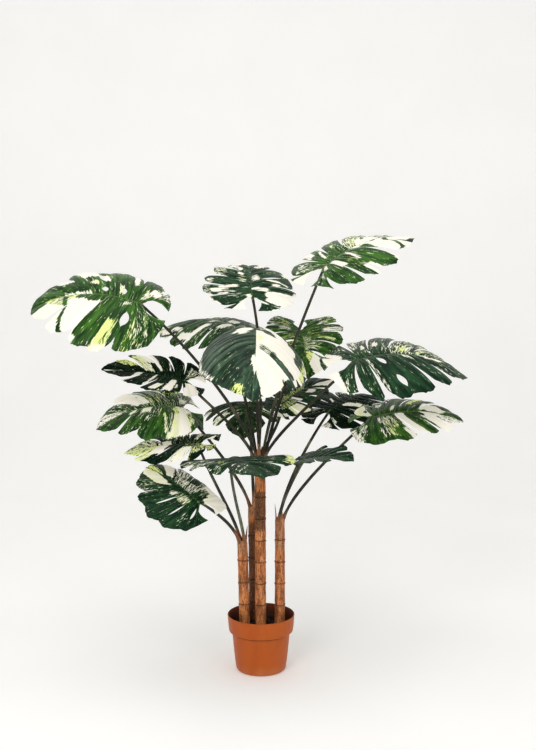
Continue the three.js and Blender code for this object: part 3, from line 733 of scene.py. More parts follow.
# %% Table of leaves
LEAVES = [
    ("centre", (-296, -100, 985), 184, 22, -37, 321, 0.99, 65, (52, 49), 8,
     "", "", 0.2, (122, 185), "bright"),
    ("centre", (-23, 45, 995), 94, 38, 0, 242, 1.03, 41, (45, 22), 7,
     "soocs", "sooso", 0.2, (83, 15), "deep"),
    ("centre", (162, 40, 1069), 30, 39, 3, 310, 0.98, 53, (57, 31), 11,
     "", "soooo", 0.26, (-169, 72), "bright"),
    ("centre", (-12, -70, 922), -88, -7, -8, 312, 1.05, 44, (56, 47), -7,
     "", "", 0.13, (0, 0), "glossy"),
    ("centre", (109, 190, 893), -82, -27, -3, 178, 1.2, 31, (24, 10), 26,
     "nsocs", "nsooc", 0.14, (0, 0), "bright"),
    ("centre", (-68, 130, 909), 141, 16, 3, 276, 1.16, 53, (40, 72), 13,
     "nsoos", "soooo", 0.18, (0, 0), "middle"),
    ("centre", (233, -60, 837), 10, 18, 14, 342, 0.96, 58, (54, 27), 7,
     "", "soooo", 0.27, (-59, 68), "deep"),
    ("right", (280, -30, 685), -4, 20, 21, 258, 0.92, 50, (21, 37), 4,
     "", "soooo", 0.2, (-119, 71), "bright"),
    ("right", (184, 150, 672), 41, 29, 5, 245, 0.97, 55, (16, 3), -6,
     "soooo", "soooo", 0.2, (-118, 65), "night"),
    ("centre", (-194, 30, 773), 185, 16, -22, 227, 0.98, 17, (26, 9), 11,
     "soooo", "soooo", 0.24, (58, 55), "night"),
    ("back", (-205, 30, 704), 202, 13, -24, 244, 1.02, 57, (43, 33), 10,
     "nsoss", "", 0.17, (93, 85), "bright"),
    ("left", (-154, -85, 630), 166, -3, -14, 213, 0.99, 15, (56, 31), 14,
     "soooo", "sooco", 0.2, (-1, 13), "night"),
    ("left", (-150, -175, 493), 146, 36, -24, 216, 1.01, 41, (78, 24), 5,
     "nsoos", "", 0.11, (-29, 116), "deep"),
    ("left", (-79, -150, 602), -68, 15, 0, 240, 1.15, 32, (18, 20), 6,
     "nsooo", "nsooo", 0.2, (-21, 9), "deep"),
    ("right", (106, -75, 584), -33, 21, 9, 150, 0.99, 31, (8, 16), 10,
     "sooso", "soooo", 0.2, (-34, 90), "deep"),
    ("back", (-31, 190, 693), 96, -8, 0, 245, 1.05, 56, (44, 44), 8,
     "soooo", "soooo", 0.3, (0, 0), "night"),
    ("centre", (54, 95, 702), 25, 36, 12, 170, 1.0, 34, (34, 24), 8,
     "sooso", "sooos", 0.2, (0, 0), "deep"),
]
FIELDS = ("cane", "base", "heading", "pitch", "roll", "length", "width", "arch", "droop", "fold",
          "right", "left", "gap", "bow", "tone")
leaves = [dict(zip(FIELDS, row), seed=index + 1) for index, row in enumerate(LEAVES)]
print(len(leaves), "leaves from", min(leaf["length"] for leaf in leaves), "to",
      max(leaf["length"] for leaf in leaves), "mm long")

# %% The bend of a blade
BASAL_BEND = 1.1


def leaf_frame(leaf):
    """The leaf's own directions at its base: along the midrib, to its right, up from the blade."""
    heading, pitch, roll = (math.radians(leaf[key]) for key in ("heading", "pitch", "roll"))
    level = math.cos(pitch)
    along = np.array([level * math.cos(heading), level * math.sin(heading), math.sin(pitch)])
    right = unit(np.cross(along, UP))
    right = right * math.cos(roll) + np.cross(along, right) * math.sin(roll)
    return along, right, np.cross(right, along)


def arched(leaf, x, y, lift):
    """Where a point of the flat blade lies once it is bent. The midrib is an arc of a circle, and
    across it each half starts at the fold angle and is an arc that bends down by the droop."""
    along, right, normal = leaf_frame(leaf)
    bend = np.where(y < 0, BASAL_BEND, 1.0) * math.radians(leaf["arch"]) / leaf["length"]
    run = np.abs(y) * bend
    forward = np.sign(y) * np.sin(run) / bend
    fall = (np.cos(run) - 1) / bend
    tilted = normal * np.cos(run)[..., None] + along * (np.sign(y) * np.sin(run))[..., None]
    fold = math.radians(leaf["fold"])
    curl = np.radians(np.where(x > 0, *leaf["droop"])) / (0.5 * leaf["length"])
    turned_by = fold - curl * np.abs(x)
    out = (math.sin(fold) - np.sin(turned_by)) / curl
    rise = (np.cos(turned_by) - math.cos(fold)) / curl
    points = np.array(leaf["base"]) + along * forward[..., None] + normal * fall[..., None]
    return points + right * (np.sign(x) * out)[..., None] + tilted * (rise + lift)[..., None]


def scatter(seed, index):
    """A number from -1 to 1 that depends only on the two given."""
    raw = math.sin(seed * 12.9898 + index * 78.233) * 43758.5453
    return 2 * (raw - math.floor(raw)) - 1


# %% [markdown]
# ## The leaf stalks
# Each stalk, or petiole, rises straight out of its cane, bends over and runs to a swollen
# joint under the blade, the knuckle, which turns the leaf to the light. It is a tube along one
# smooth curve with four control points. Shallow ribs and a swollen sheath at its foot keep it
# from looking like wire, and its olive skin carries fine pale flecks along its length.

# %% Stalk lines
SOCKET_DEPTH = 22.0
CROWDED = 6
INNER_RING = 5.3
KNUCKLE_ABOVE, KNUCKLE_LENGTH, KNUCKLE_FORWARD, KNUCKLE_LEAN = 2.2, 17.0, 7.0, 0.35
KNUCKLE_OVERLAP = 0.35
# How a stalk sets out straight up, in millimetres, and how strongly the knuckle pulls its tip.
STRAIGHT_RISE, TIP_PULL = 14, 0.42


def knuckle_of(leaf):
    """Where the knuckle starts in the base of the blade, and the way that it points, down and
    home to the cane but turned by the bow and leant under the blade."""
    normal = leaf_frame(leaf)[2]
    base = arched(leaf, np.array(0.0), np.array(KNUCKLE_FORWARD), np.array(0.0))
    home = crown_top(CANES[leaf["cane"]]) - base
    bow = np.array([leaf["bow"][0], 0, leaf["bow"][1]]) / np.linalg.norm(home)
    down = unit(unit(home) + bow - normal * KNUCKLE_LEAN)
    return base - down * KNUCKLE_ABOVE, down


def socket_places():
    """Where each stalk stands in its crown: the ones that reach out farthest on the socket ring,
    the steepest on the inner ring, each ring in compass order."""
    places = {}
    for name, cane in CANES.items():
        top = crown_top(cane)
        own = [leaf for leaf in leaves if leaf["cane"] == name]
        offset = {leaf["seed"]: np.array(leaf["base"]) - top for leaf in own}
        own.sort(key=lambda leaf: -math.hypot(*offset[leaf["seed"]][:2]) / offset[leaf["seed"]][2])
        for members, radius in ((own[:CROWDED], cane["ring"]), (own[CROWDED:], INNER_RING)):
            seeds = [leaf["seed"] for leaf in members]
            compass = sorted((math.atan2(*offset[seed][1::-1]), seed) for seed in seeds)
            step = 2 * math.pi / max(1, len(compass))
            start = sum(angle - step * i for i, (angle, _) in enumerate(compass)) / max(1, len(compass))
            for i, (_, seed) in enumerate(compass):
                turn = start + step * i
                places[seed] = top + radius * np.array([math.cos(turn), math.sin(turn), 0])
    return places


def stalk_line(leaf, mouth, count):
    """Points spaced evenly along the cubic curve from the socket to the knuckle's end."""
    start, down = knuckle_of(leaf)
    end = start + down * (KNUCKLE_LENGTH + KNUCKLE_OVERLAP)
    reach = np.linalg.norm(end - mouth)
    foot = mouth - UP * SOCKET_DEPTH
    one = mouth + UP * (STRAIGHT_RISE + 0.08 * reach)
    two = end + down * TIP_PULL * reach
    t = np.linspace(0, 1, 400)[:, None]
    curve = (1 - t) ** 3 * foot + 3 * t * (1 - t) ** 2 * one + 3 * t**2 * (1 - t) * two + t**3 * end
    far = distance_along(curve)
    even = np.linspace(0, far[-1], count)
    return np.stack([np.interp(even, far, curve[:, axis]) for axis in range(3)], -1), far[-1]


mouths = socket_places()
print("Sockets:", len(mouths))

# %% Stalk surfaces
STALK_ROWS, STALK_SIDES = 84, 22
FOOT_RADIUS, STALK_RADIUS, TIP_RADIUS, SWELL_SHARE = 3.3, 4.5, 3.3, 2 / 9
SHEATH_LENGTH = 15
SHEATH_SWELL = {"centre": 0.9, "left": 2.2, "right": 1.8, "back": 1.8}


def stalk_surface(leaf, mouth):
    """A tube along the stalk's line. Its radius swells from the foot and tapers to the tip, with
    five shallow ribs that twist slowly round it and a sheath that clasps it above the socket."""
    line, length = stalk_line(leaf, mouth, STALK_ROWS)
    at = np.linspace(0, 1, STALK_ROWS)[:, None]
    turn = ring_angles(STALK_SIDES)[None]
    stalk = STALK_RADIUS + (TIP_RADIUS - STALK_RADIUS) * at
    radius = FOOT_RADIUS + (stalk - FOOT_RADIUS) * np.clip(at / SWELL_SHARE, 0, 1) ** 2
    radius = radius + SHEATH_SWELL[leaf["cane"]] * hump(at * length - SOCKET_DEPTH, SHEATH_LENGTH)
    ribs = 0.07 * np.sin(5 * turn + 2.2 * at + leaf["seed"]) + 0.035 * np.sin(9 * turn - 1.5 * at)
    bumps = 0.03 * np.sin(19 * at + leaf["seed"]) * np.sin(turn + 7 * at)
    end = 0.1 * swell(at, 0.965, 1.0)
    return line, radius * (1 + ribs + bumps + end), length


# %% Stalk finish
stalk_group, given = new_group("stalk_skin", "Skin", "Shade", "Fleck", "Foot", "Foot End")
lanes = own_map(stalk_group, "lanes")
lines = noise(stretched(lanes, 26, 7), 1, 4, 0.6)
flecks = noise(stretched(lanes, 34, 90), 1)
cloud = noise(object_place(stalk_group), 24)
stalk_tone = lines.between(0.34, 0.66).mix(given["Shade"], given["Skin"])
stalk_tone = (lines * cloud).between(0.31, 0.38).mix(stalk_tone, given["Fleck"])
stalk_tone = (flecks.between(0.62, 0.7) * 0.6).mix(stalk_tone, given["Fleck"])
# The foot is wrapped in dry sheath, which frays out over a few centimetres above the crown.
along_stalk = parts_of(lanes)[1]
bare = ((lines - 0.5) * 0.06 + along_stalk - given["Foot End"]).between(-0.012, 0.004)
foot_tone = lines.between(0.4, 0.62).mix(given["Foot"], given["Shade"])
group_gives(stalk_group, Colour=bare.mix(foot_tone, stalk_tone),
            Roughness=lines.between(0.3, 0.7, 0.42, 0.6), Height=lines)


DRY_FOOT = (158, 104, 66)
STALK_INPUTS = list(given)


def stalk_finish(name, skin, shade, fleck, foot_end):
    """The waxy skin of a stalk in three tones, with a sheathed foot that ends foot_end metres up."""
    values = dict(zip(STALK_INPUTS, (skin, shade, fleck, DRY_FOOT, foot_end)))
    return group_finish(name, stalk_group, values, 0.25, (0.5, 0.0008))


OLIVE = (54, 54, 38), (28, 30, 22), (122, 120, 92)
olive = stalk_finish("olive_stalk", *OLIVE, 0.058)
dark_olive = stalk_finish("dark_olive_stalk", *OLIVE, 0.034)
sage = stalk_finish("sage_stalk", (78, 84, 64), (48, 54, 42), (140, 144, 116), 0.05)
knuckle_skin = stalk_finish("knuckle_skin", (96, 112, 62), (62, 78, 40), (150, 158, 100), -0.05)
print("Stalk finishes:", [finish.name for finish in (olive, dark_olive, sage, knuckle_skin)])

# %% Stalks in place
SAGE_STALKS = (14,)
CANES_OF_DARK_STALKS = ("centre", "right")
for leaf in leaves:
    number = f"{leaf['seed']:02d}"
    line, radii, length = stalk_surface(leaf, mouths[leaf["seed"]])
    finish = dark_olive if leaf["cane"] in CANES_OF_DARK_STALKS else olive
    finish = sage if leaf["seed"] in SAGE_STALKS else finish
    maps = {"lanes": tube_lanes(line, STALK_SIDES)}
    piece = mesh_piece(f"stalk_{number}", *swept_tube(line, radii), [finish], None, maps)
    stands_for(piece, f"petiole_{number}")

# %% [markdown]
# ## The blades
# A blade could be a flat card with a cut-out picture of a leaf, but it would look flat from the
# side. Here each half of the blade has six lobes between seven seam curves that run from the
# midrib to the margin. A point of a lobe is set by its column, from one seam to the next, and
# its row, from the midrib out. A split opens by squeezing the columns away from the seam. Then
# the veins are sunk, the blade between them is puffed up, and the whole is bent as the leaf hangs.

# %% Seams, splits and holes
# Each of the seven seams starts on the midrib at its root, runs towards its via point and ends
# on the margin at its edge. All are shares of the leaf's length; only the root has no x.
SEAM_ROOT = np.array([0.0, 0.02, 0.06, 0.15, 0.29, 0.47, 0.72])
SEAM_EDGE = np.array([[0.055, -0.215], [0.35, -0.175], [0.495, 0.055], [0.52, 0.3], [0.45, 0.54],
                      [0.3, 0.77], [0.0, 1.0]])
SEAM_VIA = np.array([[0.15, -0.065], [0.15, -0.15], [0.25, 0.03], [0.26, 0.17], [0.23, 0.34],
                     [0.16, 0.56], [0.0, 0.86]])
ROWS = np.concatenate([
    [0, 0.007, 0.016, 0.028, 0.05, 0.08, 0.115, 0.15, 0.185], np.linspace(0.22, 0.5, 11),
    np.linspace(0.5, 0.8, 11)[1:], np.linspace(0.8, 1, 9)[1:],
])
HALF_COLUMNS = np.array([0.06, 0.15, 0.27, 0.4, 0.54, 0.68, 0.82, 0.93, 1])
COLUMNS = np.concatenate([-HALF_COLUMNS[::-1], [0], HALF_COLUMNS])
# The usual seams, as (from row, to row): o is a split, s a shorter one, c a closed slit and n
# no opening. A to of 9 runs out through the margin.
SPLIT_SPAN = {"o": (0.22, 9), "s": (0.5, 9), "c": (0.22, 0.8), "n": (0, 0)}
# The splits of the halves that the picture shows well, as (lane, from row, to row). Lane 0 is
# the sinus and lane 6 the tip. Each split leaves the midrib on its seam and has reached its own
# lane by the settled row.
SETTLED_ROW = 0.22
SPLITS = {
    (1, "left"): [(1.0, 0, 0), (2.3, 0.8, 9), (3.1, 0, 0), (4.0, 0.85, 9), (5.0, 0.3, 9)],
    (1, "right"): [(1.0, 0.6, 9), (2.0, 0.55, 9), (3.0, 0.8, 9), (4.0, 0.42, 0.7), (5.0, 0.6, 9)],
    (3, "right"): [(1.1, 0.5, 9), (2.15, 0.3, 9), (2.85, 0.6, 9), (4.1, 0.35, 9), (5.0, 0.3, 9)],
    (4, "right"): [(seam, 0, 0) for seam in range(1, 6)],
    (4, "left"): [(1.0, 0, 0), (2.0, 0, 0), (3.0, 0.85, 9), (4.2, 0.7, 9), (5.0, 0.8, 9)],
    (7, "right"): [(1.5, 0.22, 9), (2.25, 0.3, 9), (3.15, 0.62, 0.86), (4.2, 0.36, 9), (4.9, 0.45, 9)],
    (8, "right"): [(1.0, 0, 0), (2.3, 0, 0), (3.75, 0.12, 9), (4.7, 0.45, 9), (5.25, 0.3, 9)],
    (11, "left"): [(1.2, 0.85, 9), (2.3, 0, 0), (3.3, 0, 0), (4.3, 0.9, 9), (5.15, 0.3, 9)],
    (13, "left"): [(1.25, 0.22, 0.62), (2.35, 0.3, 0.76), (3.45, 0.28, 0.78), (4.45, 0.45, 9),
                   (5.3, 0, 0)],
}
# Small extra holes beside the midrib, as (seam, from row, to row, width).
HOLES = {
    (1, "left"): [(2, 0.3, 0.57, 0.42)],
    (1, "right"): [(3, 0.08, 0.22, 0.3), (4, 0.08, 0.22, 0.3)],
    (2, "left"): [(3, 0.05, 0.16, 0.12), (4, 0.1, 0.19, 0.16)],
    (2, "right"): [(3, 0.08, 0.18, 0.12)],
    (3, "right"): [(2, 0.1, 0.2, 0.1)],
    (7, "right"): [(3, 0.12, 0.36, 0.3), (1, 0.05, 0.12, 0.1)],
    (7, "left"): [(3, 0.08, 0.18, 0.1)],
}
print("A lobe is a grid of", len(ROWS), "rows and", len(COLUMNS), "columns")

# %% Lobes of a flat blade
BULGE, FORE_CORNER, REAR_CORNER, RAGGED = 0.07, 0.03, 0.13, 0.009
LIFT_SPREAD, WIDTH_SPREAD = 9.0, 0.35
# What the lanes of a left half count from, so that both halves fit on one map.
LEFT_LANES = 10
PUFF, VEIN_SINK, VEIN_WIDTH, FINE_RELIEF = 0.062, 0.75, 1.9, 0.012


def seam_point(seam, r):
    """A seam's point at the share r from the midrib, on a curve pulled towards its via point."""
    start, middle, end = (1 - r) ** 2, 2 * r * (1 - r), r**2
    x = middle * SEAM_VIA[seam, 0] + end * SEAM_EDGE[seam, 0]
    y = start * SEAM_ROOT[seam] + middle * SEAM_VIA[seam, 1] + end * SEAM_EDGE[seam, 1]
    return np.stack([x, y], -1)


def blade_net(lane, r):
    """A point of the flat blade on any lane: the mix of the two seam curves that it lies between."""
    seam = np.clip(np.floor(lane).astype(int), 0, 5)
    share = (lane - seam)[..., None]
    return seam_point(seam, r) * (1 - share) + seam_point(seam + 1, r) * share


def slit(low, high, width, power, r):
    """How far a slit that closes again has opened at r: half a sine wave, made blunter."""
    share = np.clip((r - low) / (high - low), 0, 1)
    return width * np.maximum(0, np.sin(np.pi * share)) ** power


def gap_at(low, high, width, r):
    """How far a seam has opened at r. A slit closes again; a split runs on to the margin."""
    if high <= low:
        return np.zeros_like(r)
    if high < 1:
        return slit(low, high, width, 0.7, r)
    share = np.clip((r - low) / (1 - low), 0, 1)
    return width * np.sqrt(share) * (0.6 + 0.4 * share)


def half_seams(leaf, side):
    """For all seven seams of a half: its lane, whether it is a split, and its opening at every
    row, with the small holes on it."""
    half = (leaf["seed"], "right" if side > 0 else "left")
    usual = [(seam + 1, *SPLIT_SPAN[kind]) for seam, kind in enumerate(leaf[half[1]])]
    seams = []
    for seam, (lane, low, high) in enumerate([(0, 0, 0), *SPLITS.get(half, usual), (6, 0, 0)]):
        more = scatter(leaf["seed"], seam - 1 + (0 if side > 0 else 10))
        gap = gap_at(low, high, leaf["gap"] * (1 + WIDTH_SPREAD * more), ROWS)
        for where, start, end, wide in HOLES.get(half, []):
            if where == seam:
                gap = np.maximum(gap, slit(start, end, wide, 0.6, ROWS))
        seams.append((lane, high > 1, gap[:, None]))
    return seams


def lobe_grid(leaf, side, lobe):
    """One lobe of a flat blade as arrays: its points as shares of the length, their lanes and
    rows, the lift of each, its row, its column and the lobe's half width there."""
    t, r = np.meshgrid(COLUMNS, ROWS)
    seams, seed = half_seams(leaf, side), leaf["seed"]
    (start, split_before, gap_before), (end, split_after, gap_after) = seams[lobe], seams[lobe + 1]
    across = (t * (1 - np.where(t < 0, gap_before, gap_after)) + 1) / 2
    late = np.clip((r - 0.5) / 0.5, 0, 1) ** 2
    rear = REAR_CORNER * split_before * ((1 - t) / 2) ** 2
    fore = FORE_CORNER * split_after * ((1 + t) / 2) ** 3
    reach = r * (1 + BULGE * (1 - t * t)) - (rear + fore) * late
    ragged = np.sin(9 * t + seed + lobe * 2.3) + 0.6 * np.sin(17 * t + 1.7 * seed - lobe)
    reach = reach - RAGGED * late * (1 - t * t) * (1.6 + ragged)
    settled = swell(r, 0, SETTLED_ROW)
    start = lobe + (start - lobe) * settled
    end = lobe + 1 + (end - lobe - 1) * settled
    lane = start + (end - start) * across
    edges = blade_net(end, reach) - blade_net(start, reach)
    half_width = np.linalg.norm(edges, axis=-1) * leaf["length"] / 2
    high = LIFT_SPREAD * scatter(seed, 20 + lobe + 7 * side)
    lift = high * np.maximum(0, r - SETTLED_ROW) ** 2 * (1 - t * t)
    between_veins = half_width * np.sin(np.pi * t) ** 2
    puff = PUFF * between_veins * swell(r, 0, 0.14) * (1 - 0.4 * r)
    vein = VEIN_SINK * hump(t * half_width, VEIN_WIDTH) * swell(r, 0, 0.03) * (1 - 0.75 * r)
    wrinkles = np.sin(6 * np.pi * np.abs(t) + 9 * r + lobe) * swell(r, 0.05, 0.3)
    lift = lift + puff - vein + FINE_RELIEF * between_veins * wrinkles
    lanes = np.stack([lane + (LEFT_LANES if side < 0 else 0), r], -1)
    return blade_net(lane, reach), lanes, lift, r, t, half_width
